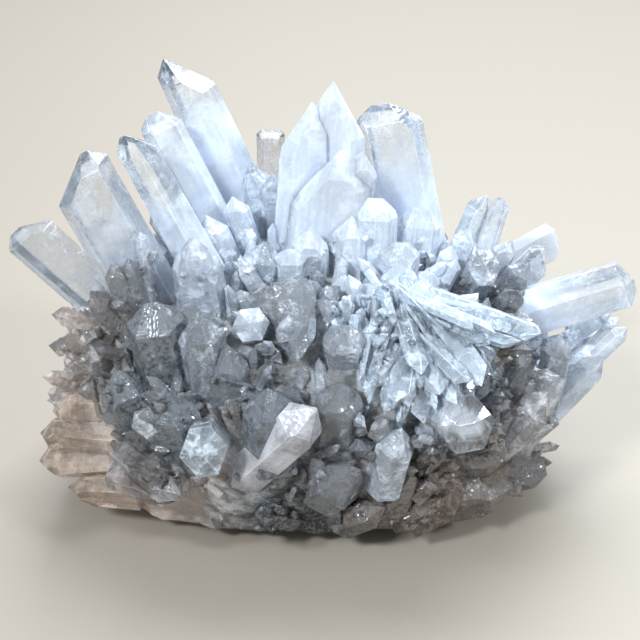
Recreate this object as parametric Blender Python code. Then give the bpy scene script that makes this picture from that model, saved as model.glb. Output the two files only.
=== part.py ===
"""Chrysanthemum quartz: crystals radiating from the heart of a low rock mound.

The mound is broken flat below, so that it stands by itself. Stubby crystals grow fused to
its skin. The large crystals stand in sockets of the mound with a hairline gap. Those that
have grown into each other are one solid.

Lengths are in millimetres until a mesh is made. X runs to the right, Y away from the
viewer, Z up. The origin is the middle of the flat resting face.
"""

import math
import random
from dataclasses import dataclass, replace

import bmesh
import bpy
from mathutils import Matrix, Vector, noise

MM = 0.001

# The mound: half width, half depth and height at its full outline
MOUND_HALF_WIDTH = 46.0
MOUND_HALF_DEPTH = 30.5
MOUND_HEIGHT = 46.0
MOUND_SHIFT_X = 1.5
MOUND_SQUARENESS = 2.4
MOUND_RELIEF = 1.9
MOUND_COLUMNS = 30

# Height and outline scale of the mound's rings, from the broken foot to the crown, and how
# far the point of the crown stands above the last ring
MOUND_RINGS = (
    (0.0, 0.78), (3.5, 0.96), (10.0, 1.04), (19.0, 1.05), (28.0, 0.98),
    (36.0, 0.84), (41.5, 0.62), (45.0, 0.35), (46.0, 0.12),
)
CROWN_POINT = 0.6

# Size of the mound's large and small lumps, and the weight of the small ones
LUMP_SIZE = 9.0
SMALL_LUMP_SIZE = 4.0
SMALL_LUMP_SHARE = 0.7

# Hairline gap between a large crystal and its socket
SOCKET_GAP = 0.3

# Rhomb faces of quartz rise at 51.8 degrees from the cross-section. Every second one is
# steeper and smaller, and no two crystals grow quite alike.
RHOMB_SLOPE = math.tan(math.radians(51.8))
MAJOR_RHOMB = 0.94
MINOR_RHOMB = 1.1
GROWTH_JITTER = 0.08
THINNEST_SIDE = 0.12

# The heart, where the crust's crystals point away from. They lean less to the front and
# back than to the sides, by this share.
HEART = Vector((0.0, 0.0, -6.0))
FRONT_LEAN_SHARE = 0.55

# The crust of small crystals that follows a rule: how many are tried, the lowest root,
# their widths, how far they rise from the skin, the share of that which a crystal loses
# when it points straight sideways, how far they stray from the rule's direction, and how
# close they may come to a placed and to a large crystal as a share of their width
CRUST_COUNT = 165
CRUST_LOWEST = 9.0
CRUST_WIDTH = (5.0, 11.0)
CRUST_RISE = (4.5, 9.0)
CRUST_SIDE_LOSS = 0.5
CRUST_TILT = 0.5
CRUST_CLEARANCE = 0.1
LARGE_CLEARANCE = 0.45

# How high the lower end of a crust crystal stays over the table, as a share of its width
CRUST_LIFT = 0.75

# How deep a crust crystal's root reaches under the skin: a length and a share of its width
CRUST_ROOT = 1.5
CRUST_ROOT_SHARE = 0.8

# The spread of the crust crystals' shapes, and how fast those placed one by one widen
# toward the root
CRUST_DEPTH_SHARE = 0.8
CRUST_ROLL = 40.0
CRUST_TIP_SHIFT = 0.5
CRUST_STEEP = (0.8, 1.7)
CRUST_CHISEL = (0.0, 0.35)
CRUST_TAPER = (0.0, 0.04)
PLACED_TAPER = 0.015
GOLDEN_ANGLE = math.radians(137.508)

# A crystal is cut out of a block this many times its length and width. Its points that are
# closer than the weld are one, and so are faces that bend less than these angles in degrees.
BLOCK_SHARE = 4.0
WELD = 0.01
FLAT_CRYSTAL = 0.5
FLAT_MATRIX = 0.3

# Finishes: colour, roughness and how opaque
ROCK_LOOK = ((0.42, 0.43, 0.42), 0.45, 1.0)
QUARTZ_LOOK = ((0.82, 0.86, 0.9), 0.08, 0.5)
QUARTZ_INDEX = 1.54


@dataclass
class Crystal:
    """One quartz crystal, given by its tip and the way it points.

    lean is its angle from upright to the right and toward its angle to the viewer, in
    degrees. width and depth are measured across the prism, length from tip to root.
    """

    name: str
    tip: tuple
    lean: float
    toward: float
    width: float
    depth: float
    length: float
    roll: float = 0.0
    tip_shift: float = 0.0
    steep: float = 1.0
    chisel: float = 0.0
    taper: float = 0.0


# Groups of large crystals. The crystals of a group have grown into each other.
LARGE = {
    "crystal_tall_left": [
        Crystal("tall_left", (-26.5, 19.0, 81.0), -22, -3, 9.5, 8.0, 50,
                tip_shift=-0.48, steep=0.95, taper=0.006),
    ],
    "crystal_left_second": [
        Crystal("left_second", (-28.0, 9.0, 73.0), -25, -3, 8.0, 6.5, 41,
                roll=20, tip_shift=-0.2, steep=0.8, chisel=0.3),
    ],
    "crystal_left_third": [
        Crystal("left_third", (-32.0, -1.0, 72.0), -25, -3, 8.0, 6.5, 41,
                roll=-15, tip_shift=-0.35, steep=0.9, chisel=0.15, taper=0.007),
    ],
    "crystal_far_left_tall": [
        Crystal("far_left_tall", (-38.0, -7.0, 71.0), -23, 3, 12.0, 7.0, 41,
                roll=10, tip_shift=0.5, steep=0.75, chisel=0.1, taper=0.002),
    ],
    "crystal_far_left_low": [
        Crystal("far_left_low", (-56.0, 5.0, 50.5), -44, -3, 10.0, 6.5, 33,
                roll=15, tip_shift=-0.4, steep=0.6, chisel=0.25),
    ],
    "crystal_back_small": [
        Crystal("back_small", (-6.5, 30.5, 63.0), 0, -12, 6.0, 5.0, 34,
                steep=0.6, chisel=0.6),
    ],
    "crystals_centre_blades": [
        Crystal("centre_blade", (6.5, 9.0, 79.5), 3, -3, 13.0, 5.5, 37,
                roll=-8, tip_shift=0.1, steep=1.5, taper=0.012),
        Crystal("centre_left", (2.5, 7.0, 76.0), 1, -3, 8.5, 5.0, 35,
                roll=15, tip_shift=0.2, steep=1.3, taper=0.014),
        Crystal("centre_front", (8.5, 1.0, 68.5), 4, 0, 14.0, 7.5, 33,
                roll=-8, tip_shift=0.3, steep=1.1, chisel=0.1, taper=0.01),
        Crystal("centre_right", (12.0, 2.0, 68.0), 11, -3, 8.0, 5.0, 33,
                roll=15, taper=0.006),
    ],
    "crystal_right_tall": [
        Crystal("right_tall", (15.5, 12.0, 74.0), -12, -1, 13.0, 8.0, 36,
                roll=-8, tip_shift=-0.25, steep=0.7, chisel=0.28, taper=0.003),
    ],
    "crystal_right_tall_back": [
        Crystal("right_tall_back", (12.5, 22.0, 68.0), -9, -5, 5.5, 4.5, 35),
    ],
    "crystals_back_right": [
        Crystal("back_right_a", (38.0, 15.5, 54.0), 20, 0, 6.0, 4.5, 19,
                roll=10, steep=0.8),
        Crystal("back_right_b", (40.5, 13.5, 54.5), 11, -1, 4.5, 3.5, 24,
                roll=-10, steep=0.7),
    ],
    "crystal_white_blade": [
        Crystal("white_blade", (56.5, 30.5, 39.0), 66, -16, 9.5, 5.0, 33,
                tip_shift=-0.3, steep=0.5, chisel=0.25),
    ],
    "crystal_right_clear": [
        Crystal("right_clear", (49.0, 7.0, 46.5), 40, 0, 7.0, 5.0, 23,
                roll=10, tip_shift=-0.3, steep=0.7),
    ],
    "crystal_right_big": [
        Crystal("right_big", (64.5, -4.0, 43.5), 68, 5, 10.5, 8.5, 34,
                roll=10, tip_shift=0.2, steep=0.45, chisel=0.25, taper=0.003),
    ],
    "crystal_right_low_a": [
        Crystal("right_low_a", (65.0, -2.0, 33.0), 38, 0, 4.0, 3.0, 31),
    ],
    "crystal_right_low_b": [
        Crystal("right_low_b", (65.0, 4.0, 32.0), 36, 0, 3.0, 2.5, 32),
    ],
    "crystal_right_low_c": [
        Crystal("right_low_c", (59.0, -9.0, 30.5), 33, 4, 6.0, 4.5, 24, roll=12),
    ],
    "crystal_fan_blade": [
        Crystal("fan_a", (33.5, -29.0, 38.5), 103, 50, 6.5, 4.0, 22,
                roll=20, tip_shift=0.2, steep=1.1),
    ],
    "crystal_front_hexagon": [
        Crystal("hex_low", (29.0, -36.0, 32.5), 2, 60, 10.0, 9.0, 18,
                roll=12, steep=0.35, chisel=0.25),
    ],
    "crystal_front_slant": [
        Crystal("front_slant", (3.5, -37.0, 36.5), 34, 20, 9.0, 6.5, 26,
                roll=12, tip_shift=-0.1, steep=1.2),
    ],
    "crystal_front_bright": [
        Crystal("front_bright", (-16.1, -38.5, 27.7), 0, 72, 9.0, 8.5, 16,
                roll=10, steep=0.5),
    ],
    "crystals_petals": [
        Crystal("petal_a", (-47.3, -16.0, 22.3), -97, -12, 7.5, 4.5, 15,
                roll=10, taper=0.01),
        Crystal("petal_b", (-49.9, -17.0, 17.9), -94, -14, 7.5, 5.0, 18,
                roll=-10, steep=0.9, taper=0.01),
        Crystal("petal_c", (-50.6, -18.0, 12.1), -104, -10, 7.5, 5.0, 17,
                roll=20, steep=0.9, taper=0.01),
        Crystal("petal_d", (-44.8, -21.0, 8.1), -96, -12, 7.0, 5.0, 15,
                roll=-15, steep=1.1, taper=0.01),
        Crystal("front_clear", (-20.5, -37.0, 18.0), 92, 48, 6.5, 5.5, 18,
                roll=12, chisel=0.2),
    ],
}

# Crystals of the crust that are seen one by one, fused to the mound
PLACED = [
    Crystal("right_grey", (49.3, -12.0, 36.3), 3, 8, 5.0, 4.0, 18),
    Crystal("right_lump", (46.0, -21.0, 29.5), 29, 10, 7.0, 6.5, 15, roll=10, steep=0.95),
    Crystal("hexagon_low", (40.5, -15.0, 40.0), 2, 60, 6.8, 6.0, 20, roll=10, steep=0.35),
    Crystal("hexagon_high", (34.7, -9.0, 49.6), 4, 50, 6.5, 6.5, 24, roll=5, steep=0.35),
    Crystal("fan_b", (30.6, -31.5, 35.4), 124, 58, 3.6, 2.4, 22),
    Crystal("fan_c", (28.5, -33.0, 33.5), 140, 61, 5.0, 3.2, 24, roll=-10, steep=1.55),
    Crystal("fan_d", (25.7, -35.0, 29.9), 162, 59, 4.6, 3.0, 26, roll=10),
    Crystal("fan_e", (21.9, -34.5, 31.6), -179, 64, 4.2, 2.8, 25),
    Crystal("fan_f", (18.4, -33.0, 34.7), -151, 68, 3.6, 2.6, 22, roll=15),
    Crystal("fan_g", (15.0, -34.5, 33.4), -137, 62, 4.4, 3.0, 25, steep=1.55),
    Crystal("fan_h", (13.0, -31.0, 36.7), -116, 58, 3.4, 2.6, 22, roll=-15),
    Crystal("fan_i", (24.5, -33.0, 36.5), 151, 74, 4.4, 3.0, 22),
    Crystal("fan_upper_a", (37.3, -21.0, 44.7), 77, 21, 2.2, 1.6, 20),
    Crystal("fan_upper_b", (36.3, -23.0, 42.5), 84, 29, 3.0, 2.2, 19),
    Crystal("fan_upper_c", (35.6, -25.0, 40.8), 91, 36, 2.6, 1.8, 20),
    Crystal("front_blue", (-4.9, -33.0, 37.9), -2, 12, 8.5, 7.0, 18, roll=8),
    Crystal("front_round", (-27.0, -31.0, 31.0), -13, 40, 6.5, 5.5, 13, roll=15, steep=0.95),
    Crystal("left_edge", (-47.0, -9.0, 39.5), -81, 0, 4.0, 3.0, 20),
    Crystal("left_small", (-38.5, -12.0, 46.0), -35, 5, 5.0, 4.0, 16),
    Crystal("low_left", (-32.5, -15.0, 41.0), -30, 20, 5.0, 4.0, 12),
    Crystal("smoky_a", (-30.5, -14.0, 53.5), -10, 5, 3.0, 2.5, 20),
    Crystal("smoky_b", (-29.0, -12.0, 58.5), -7, 0, 3.0, 2.5, 24),
    Crystal("shield", (-18.9, -13.0, 57.0), -6, 5, 8.5, 5.0, 23, steep=1.05, chisel=0.1),
    Crystal("left_facet", (-25.8, -21.5, 48.3), -8, 8, 10.5, 8.0, 20, steep=0.85, chisel=0.2),
    Crystal("left_light", (-17.4, -24.0, 47.4), -5, 8, 7.5, 6.0, 18, steep=1.05),
    Crystal("mid_a", (-6.2, -7.0, 53.4), 6, 10, 7.5, 5.5, 17, steep=0.9, chisel=0.1),
    Crystal("mid_b", (-1.2, -8.0, 52.6), 2, 12, 6.0, 4.5, 17, steep=0.8, chisel=0.3),
    Crystal("mid_c", (2.3, -6.0, 56.2), 2, 10, 6.5, 5.0, 17, steep=1.1),
    Crystal("mid_d", (0.9, -15.0, 49.8), 4, 18, 9.0, 7.5, 17, roll=8, steep=0.9, chisel=0.15),
    Crystal("mid_e", (-4.9, -18.0, 49.7), -6, 22, 9.0, 7.0, 17, roll=-12, steep=0.8, chisel=0.15),
    Crystal("mid_f", (-1.6, -21.0, 48.6), 2, 30, 7.0, 6.0, 16, roll=20, steep=0.8),
    Crystal("disc", (-8.3, -22.5, 44.7), -2, 55, 6.5, 5.5, 15, roll=5, steep=0.4),
    Crystal("small_disc", (-5.3, -25.0, 41.2), 5, 58, 3.0, 2.5, 14, steep=0.5),
    Crystal("tip_down", (0.2, -29.0, 40.7), 172, 62, 6.5, 4.5, 16, roll=10, steep=1.3),
    Crystal("grey_mid", (8.0, -24.5, 45.5), -4, 20, 7.5, 6.0, 16, steep=0.85),
    Crystal("white_a", (8.5, -12.5, 49.5), 0, 20, 4.5, 4.0, 12, steep=1.05),
    Crystal("white_b", (14.5, -14.5, 48.4), -3, 25, 8.5, 6.5, 16, steep=0.75, chisel=0.2),
    Crystal("white_c", (18.5, -10.0, 50.0), -4, 20, 6.5, 5.5, 14, steep=0.95, chisel=0.2),
    Crystal("white_d", (24.0, -9.0, 48.5), 3, 25, 5.5, 4.5, 14, steep=0.95),
    Crystal("white_e", (20.0, -15.0, 48.5), 0, 35, 4.5, 3.5, 14, steep=0.95),
    Crystal("dark_right", (40.5, -13.0, 46.5), 19, 30, 5.0, 4.0, 18, steep=1.05),
    Crystal("low_right", (23.0, -33.0, 29.0), -11, 35, 5.0, 4.5, 13, steep=1.15),
    Crystal("grey_low_a", (-12.1, -25.5, 42.1), 3, 10, 7.0, 6.0, 17, steep=1.15),
    Crystal("grey_low_b", (7.8, -31.0, 37.7), 2, 12, 8.0, 6.5, 18, roll=-12, steep=0.95),
    Crystal("grey_low_c", (18.1, -34.5, 30.8), 10, 15, 7.0, 5.5, 16, roll=15, steep=1.15),
    Crystal("dark_low_a", (-32.3, -23.0, 35.1), -15, 10, 9.5, 7.5, 18, roll=10, steep=0.95, chisel=0.2),
    Crystal("dark_low_b", (-22.6, -29.0, 35.5), -5, 12, 9.0, 7.0, 18, roll=-15, steep=1.05),
    Crystal("edge_warm", (-40.2, -12.0, 37.8), -30, 5, 8.0, 6.5, 18, roll=10, steep=0.95),
    Crystal("right_low_d", (60.7, -1.0, 28.3), 45, 3, 4.5, 3.5, 20, roll=15),
    Crystal("right_low_e", (55.9, -7.0, 27.4), 38, 8, 5.0, 4.0, 18),
    Crystal("right_low_f", (62.8, 2.5, 34.0), 52, 0, 3.5, 2.8, 22),
    Crystal("right_back_low", (62.6, 8.0, 26.9), 48, -8, 5.0, 4.0, 20, roll=-15),
    Crystal("between_a", (-5.4, 10.0, 60.8), -3, -2, 4.5, 3.5, 22),
    Crystal("between_b", (-12.9, 4.0, 58.3), -14, 0, 5.0, 4.0, 18, steep=0.95),
    Crystal("between_c", (-9.9, 13.0, 62.0), -14, -3, 6.0, 4.5, 26, steep=1.15),
    Crystal("between_d", (-27.4, -2.0, 59.1), -30, 0, 5.0, 4.0, 18),
    Crystal("between_e", (-17.8, 0.0, 56.1), -18, 0, 6.5, 5.0, 18, steep=0.95),
    Crystal("between_f", (-0.6, 2.0, 55.9), -4, 0, 4.5, 4.0, 16),
    Crystal("block_a", (14.1, -1.0, 59.9), 3, -4, 9.0, 6.0, 22, steep=0.85, chisel=0.4),
    Crystal("block_b", (23.2, 3.0, 56.3), 6, -3, 8.5, 6.0, 22, steep=0.95, chisel=0.3),
    Crystal("block_c", (9.9, -4.0, 57.7), 0, 0, 6.0, 5.0, 16, steep=1.05),
    Crystal("block_d", (19.3, -6.0, 53.1), 4, 8, 7.5, 6.0, 16, steep=0.85, chisel=0.3),
    Crystal("right_a", (32.9, 2.0, 52.5), 18, 0, 5.0, 3.5, 18),
    Crystal("right_b", (29.1, -2.0, 50.7), 12, 0, 4.0, 3.5, 16),
    Crystal("right_c", (44.8, 0.0, 46.2), 35, 0, 5.5, 4.5, 18),
    Crystal("right_d", (41.7, 4.0, 49.1), 25, 0, 4.5, 3.5, 16),
    Crystal("smoky_c", (-33.4, -14.0, 52.7), -14, 5, 4.5, 3.5, 18),
    Crystal("edge_low", (-46.5, -8.0, 31.2), -80, 5, 6.0, 5.0, 12, roll=15),
    Crystal("edge_lower", (-46.4, -10.0, 24.4), -85, 10, 7.0, 6.0, 12, roll=-20),
]
CRUST = [replace(crystal, taper=PLACED_TAPER) for crystal in PLACED]


def clear_scene():
    """Remove whatever the file opened with."""
    for item in list(bpy.data.objects):
        bpy.data.objects.remove(item)


def plain_finish(name, colour, roughness, alpha):
    """A plain Principled material."""
    made = bpy.data.materials.new(name)
    made.use_nodes = True
    shader = made.node_tree.nodes["Principled BSDF"]
    shader.inputs["Base Color"].default_value = (*colour, 1.0)
    shader.inputs["Roughness"].default_value = roughness
    shader.inputs["Metallic"].default_value = 0.0
    shader.inputs["IOR"].default_value = QUARTZ_INDEX
    shader.inputs["Alpha"].default_value = alpha
    made.diffuse_color = (*colour, alpha)
    return made


def axes_of(crystal):
    """The crystal's right, back and tip directions as the columns of a matrix."""
    lean = math.radians(crystal.lean)
    toward = math.radians(crystal.toward)
    up = Vector((
        math.sin(lean) * math.cos(toward),
        -math.sin(toward),
        math.cos(lean) * math.cos(toward),
    ))
    right = Vector((0.0, 1.0, 0.0)).cross(up).normalized()
    back = up.cross(right)
    return Matrix((right, back, up)).transposed()


def crystal_planes(crystal, gap=0.0):
    """Planes of a crystal in its own frame, the tip at the origin and the root below.

    Each plane is a point on it and its outward direction. gap moves every plane out.
    """
    draw = random.Random(crystal.name)
    wedge = crystal.width * crystal.chisel
    width = crystal.width - wedge
    shift = Vector((crystal.tip_shift * width / 2.0, 0.0, 0.0))
    planes = []
    for side in range(6):
        angle = math.radians(60.0 * side - 90.0)
        outward = Vector((math.cos(angle), math.sin(angle), 0.0))
        front_or_back = side % 3 == 0
        flat = crystal.depth / 2.0 if front_or_back else width / 2.0 * math.cos(math.pi / 6.0)
        flat *= 1.0 + GROWTH_JITTER * draw.uniform(-1.0, 1.0)
        flat = max(flat - shift.dot(outward), THINNEST_SIDE * crystal.depth)
        slope = RHOMB_SLOPE * crystal.steep * (MAJOR_RHOMB if side % 2 == 0 else MINOR_RHOMB)
        slope *= 1.0 + GROWTH_JITTER * draw.uniform(-1.0, 1.0)
        half_wedge = 0.0 if front_or_back else math.copysign(wedge / 2.0, outward.x)
        step = Vector((half_wedge, 0.0, 0.0))
        wall = (outward + Vector((0.0, 0.0, flat * crystal.taper))).normalized()
        planes.append((outward * flat + step + wall * gap, wall))
        rhomb = (outward * slope + Vector((0.0, 0.0, 1.0))).normalized()
        planes.append((step + rhomb * gap, rhomb))
    down = Vector((0.0, 0.0, -1.0))
    planes.append((down * (crystal.length + gap), down))
    roll = Matrix.Rotation(math.radians(crystal.roll), 3, "Z")
    return [(roll @ point, roll @ outward) for point, outward in planes]


def cut_crystal(bm, crystal, gap=0.0, place=None):
    """Cut one crystal out of a block, a flat face at a time, and add it to bm."""
    block = bmesh.new()
    bmesh.ops.create_cube(block, size=BLOCK_SHARE * (crystal.length + crystal.width))
    for point, outward in crystal_planes(crystal, gap):
        everything = block.verts[:] + block.edges[:] + block.faces[:]
        cut = bmesh.ops.bisect_plane(
            block, geom=everything, plane_co=point, plane_no=outward, clear_outer=True)
        rim = [item for item in cut["geom_cut"] if isinstance(item, bmesh.types.BMEdge)]
        if rim:
            bmesh.ops.edgeloop_fill(block, edges=rim)
    bmesh.ops.remove_doubles(block, verts=block.verts, dist=WELD)
    bmesh.ops.dissolve_limit(
        block, angle_limit=math.radians(FLAT_CRYSTAL),
        verts=block.verts[:], edges=block.edges[:])
    bmesh.ops.recalc_face_normals(block, faces=block.faces)
    if place is not None:
        block.transform(place)
    corners = {vert: bm.verts.new(vert.co) for vert in block.verts}
    for face in block.faces:
        bm.faces.new([corners[vert] for vert in face.verts])
    block.free()


def placement(crystal):
    """The crystal's place in the cluster."""
    return Matrix.Translation(Vector(crystal.tip)) @ axes_of(crystal).to_4x4()


def ring_scale(height):
    """Outline scale of the mound at a height."""
    for (low, small), (high, large) in zip(MOUND_RINGS, MOUND_RINGS[1:]):
        if height <= high:
            share = (height - low) / (high - low)
            return small + share * (large - small)
    return MOUND_RINGS[-1][1]


def mound_point(azimuth, height):
    """A point of the mound's skin, with the lumps of broken rock."""
    across = math.cos(azimuth)
    away = math.sin(azimuth)
    power = MOUND_SQUARENESS
    reach = (abs(across) ** power + abs(away) ** power) ** (-1.0 / power)
    scale = ring_scale(height) * reach
    point = Vector((
        MOUND_SHIFT_X + MOUND_HALF_WIDTH * scale * across,
        MOUND_HALF_DEPTH * scale * away,
        height,
    ))
    lump = noise.noise(point / LUMP_SIZE)
    lump += SMALL_LUMP_SHARE * noise.noise(point / SMALL_LUMP_SIZE)
    outward = Vector((across, away, 0.0))
    if height > 0.0:
        point += outward * MOUND_RELIEF * lump
    return point


def mound_mesh():
    """The rock mound: rings of points around it, a flat foot and a closed crown."""
    bm = bmesh.new()
    rings = []
    for height, _ in MOUND_RINGS:
        ring = []
        for column in range(MOUND_COLUMNS):
            azimuth = 2.0 * math.pi * column / MOUND_COLUMNS
            ring.append(bm.verts.new(mound_point(azimuth, height)))
        rings.append(ring)
    for low, high in zip(rings, rings[1:]):
        for column in range(MOUND_COLUMNS):
            after = (column + 1) % MOUND_COLUMNS
            bm.faces.new((low[column], low[after], high[after], high[column]))
    bm.faces.new(list(reversed(rings[0])))
    crown = bm.verts.new((MOUND_SHIFT_X, 0.0, MOUND_HEIGHT + CROWN_POINT))
    for column in range(MOUND_COLUMNS):
        after = (column + 1) % MOUND_COLUMNS
        bm.faces.new((rings[-1][column], rings[-1][after], crown))
    bmesh.ops.triangulate(bm, faces=[face for face in bm.faces if len(face.verts) == 4])
    return bm


def lean_and_toward(direction):
    """The lean and toward angles of a direction."""
    toward = -math.asin(max(-1.0, min(1.0, direction.y)))
    lean = math.atan2(direction.x, direction.z)
    return math.degrees(lean), math.degrees(toward)


def nearness(point, crystal):
    """Distance from a point to a crystal's axis, less its half width."""
    tip = Vector(crystal.tip)
    up = axes_of(crystal).col[2]
    along = max(-crystal.length, min(0.0, (point - tip).dot(up)))
    return (point - tip - up * along).length - crystal.width / 2.0


def height_at(share):
    """Height on the mound below which this share of the crust's area lies."""
    bands = []
    for (low, wide), (high, narrow) in zip(MOUND_RINGS, MOUND_RINGS[1:]):
        if high > CRUST_LOWEST:
            slant = math.hypot(high - low, (wide - narrow) * MOUND_HALF_DEPTH)
            bands.append((max(low, CRUST_LOWEST), high, slant * (wide + narrow)))
    left = share * sum(area for _, _, area in bands)
    for low, high, area in bands:
        if left <= area:
            return low + (high - low) * left / area
        left -= area
    return MOUND_HEIGHT


def rule_direction(root, draw):
    """The way a crust crystal points: away from the heart, with a stray of its own."""
    away = root - HEART
    away.y *= FRONT_LEAN_SHARE
    stray = Vector((draw.uniform(-1, 1), draw.uniform(-1, 1), draw.uniform(-1, 1)))
    return (away.normalized() + CRUST_TILT * stray).normalized()


def has_room(tip, root_end, width, large):
    """True where a crust crystal stays off the table, the large crystals and the placed."""
    if min(tip.z, root_end.z) < CRUST_LIFT * width:
        return False
    for others, share in ((large, LARGE_CLEARANCE), (CRUST, CRUST_CLEARANCE)):
        if any(nearness(tip, other) < share * width for other in others):
            return False
    return True


def rule_crust(large):
    """Small crystals spread evenly over the mound, where no placed crystal grows."""
    crust = []
    draw = random.Random("crust")
    for count in range(CRUST_COUNT):
        height = height_at((count + 0.5) / CRUST_COUNT)
        root = mound_point(count * GOLDEN_ANGLE, height)
        up = rule_direction(root, draw)
        width = draw.uniform(*CRUST_WIDTH)
        rise = draw.uniform(*CRUST_RISE) * (1.0 - CRUST_SIDE_LOSS * abs(up.x))
        length = rise + CRUST_ROOT + CRUST_ROOT_SHARE * width
        tip = root + up * rise
        if not has_room(tip, tip - up * length, width, large):
            continue
        lean, toward = lean_and_toward(up)
        crust.append(Crystal(
            f"crust_{count}", tuple(tip), lean, toward, width, width * CRUST_DEPTH_SHARE, length,
            roll=draw.uniform(-CRUST_ROLL, CRUST_ROLL),
            tip_shift=draw.uniform(-CRUST_TIP_SHIFT, CRUST_TIP_SHIFT),
            steep=draw.uniform(*CRUST_STEEP), chisel=draw.uniform(*CRUST_CHISEL),
            taper=draw.uniform(*CRUST_TAPER)))
    return crust


def object_from(bm, name):
    """A new object in the scene from a mesh in millimetres."""
    bm.transform(Matrix.Scale(MM, 4))
    mesh = bpy.data.meshes.new(name)
    bm.to_mesh(mesh)
    bm.free()
    made = bpy.data.objects.new(name, mesh)
    bpy.context.scene.collection.objects.link(made)
    return made


def combine(target, tool, operation):
    """Apply a Boolean with another object and take that object away."""
    modifier = target.modifiers.new(operation.lower(), "BOOLEAN")
    modifier.operation = operation
    modifier.solver = "EXACT"
    modifier.use_self = True
    modifier.object = tool
    view = bpy.context.evaluated_depsgraph_get()
    joined = bpy.data.meshes.new_from_object(target.evaluated_get(view))
    target.modifiers.clear()
    target.data = joined
    bpy.data.objects.remove(tool)


def keep_largest_piece(target):
    """Drop crumbs and closed pockets, so that one outer skin is left."""
    bm = bmesh.new()
    bm.from_mesh(target.data)
    unseen = set(bm.verts)
    pieces = []
    while unseen:
        front = [unseen.pop()]
        piece = list(front)
        while front:
            vert = front.pop()
            for edge in vert.link_edges:
                other = edge.other_vert(vert)
                if other in unseen:
                    unseen.remove(other)
                    front.append(other)
                    piece.append(other)
        pieces.append(piece)
    pieces.sort(key=len)
    for piece in pieces[:-1]:
        bmesh.ops.delete(bm, geom=piece, context="VERTS")
    bmesh.ops.dissolve_limit(
        bm, angle_limit=math.radians(FLAT_MATRIX), verts=bm.verts[:], edges=bm.edges[:])
    bmesh.ops.triangulate(bm, faces=bm.faces[:])
    bm.to_mesh(target.data)
    bm.free()


def build_matrix():
    """The mound and its crust in one solid, with a socket for each large crystal."""
    matrix = object_from(mound_mesh(), "matrix")
    large = [crystal for group in LARGE.values() for crystal in group]
    grown = bmesh.new()
    for crystal in CRUST + rule_crust(large):
        cut_crystal(grown, crystal, place=placement(crystal))
    combine(matrix, object_from(grown, "crust_tool"), "UNION")
    sockets = bmesh.new()
    for crystal in large:
        cut_crystal(sockets, crystal, gap=SOCKET_GAP, place=placement(crystal))
    combine(matrix, object_from(sockets, "socket_tool"), "DIFFERENCE")
    keep_largest_piece(matrix)
    matrix.data.materials.clear()
    matrix.data.materials.append(plain_finish("grey_quartz_rock", *ROCK_LOOK))


def build_crystal(name, group):
    """A large crystal at its tip, with those that have grown into it."""
    first = group[0]
    bm = bmesh.new()
    cut_crystal(bm, first)
    made = object_from(bm, name)
    place = placement(first)
    if len(group) > 1:
        others = bmesh.new()
        for crystal in group[1:]:
            cut_crystal(others, crystal, place=place.inverted() @ placement(crystal))
        combine(made, object_from(others, name + "_tool"), "UNION")
        keep_largest_piece(made)
    made.location = place.translation * MM
    made.rotation_euler = place.to_euler()
    made.data.materials.clear()
    made.data.materials.append(plain_finish(name + "_quartz", *QUARTZ_LOOK))


def build():
    clear_scene()
    build_matrix()
    for name, group in LARGE.items():
        build_crystal(name, group)


build()
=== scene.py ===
# %% [markdown]
# # A chrysanthemum quartz cluster
# Quartz crystals radiate from the heart of a low rock mound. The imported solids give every
# place and size. Here each solid gets a finer mesh with the colours and clarity of the real
# stone: clear tips, milky bases, grey-green rock and a warm rim.

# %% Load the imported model
import math
import random
from dataclasses import dataclass, replace

import bmesh
import bpy
import numpy as np
from mathutils import Matrix, Vector, noise


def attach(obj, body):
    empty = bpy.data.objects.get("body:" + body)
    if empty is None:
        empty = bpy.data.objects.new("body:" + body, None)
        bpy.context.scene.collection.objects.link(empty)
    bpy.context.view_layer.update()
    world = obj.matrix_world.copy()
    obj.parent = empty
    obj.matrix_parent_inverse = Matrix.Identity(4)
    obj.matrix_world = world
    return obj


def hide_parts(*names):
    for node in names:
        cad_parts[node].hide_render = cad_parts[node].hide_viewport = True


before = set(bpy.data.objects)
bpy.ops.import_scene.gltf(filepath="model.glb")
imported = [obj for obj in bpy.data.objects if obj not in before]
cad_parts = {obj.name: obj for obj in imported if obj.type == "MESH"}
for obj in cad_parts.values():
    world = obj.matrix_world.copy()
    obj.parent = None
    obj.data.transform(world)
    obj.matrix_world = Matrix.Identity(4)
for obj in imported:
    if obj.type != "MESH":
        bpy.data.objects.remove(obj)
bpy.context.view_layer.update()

MM = 0.001

# %% [markdown]
# ## Where each crystal stands
# A quartz crystal is a six-sided prism with a six-sided tip. One line gives a crystal: its
# tip in millimetres, how far it leans to the right and toward the viewer, its width, depth
# and length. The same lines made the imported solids, so the finer meshes fall on them.

# %% The crystal record
@dataclass
class Crystal:
    """One quartz crystal, given by its tip and the way it points."""

    name: str
    tip: tuple
    lean: float
    toward: float
    width: float
    depth: float
    length: float
    roll: float = 0.0
    tip_shift: float = 0.0
    steep: float = 1.0
    chisel: float = 0.0
    taper: float = 0.0


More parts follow.
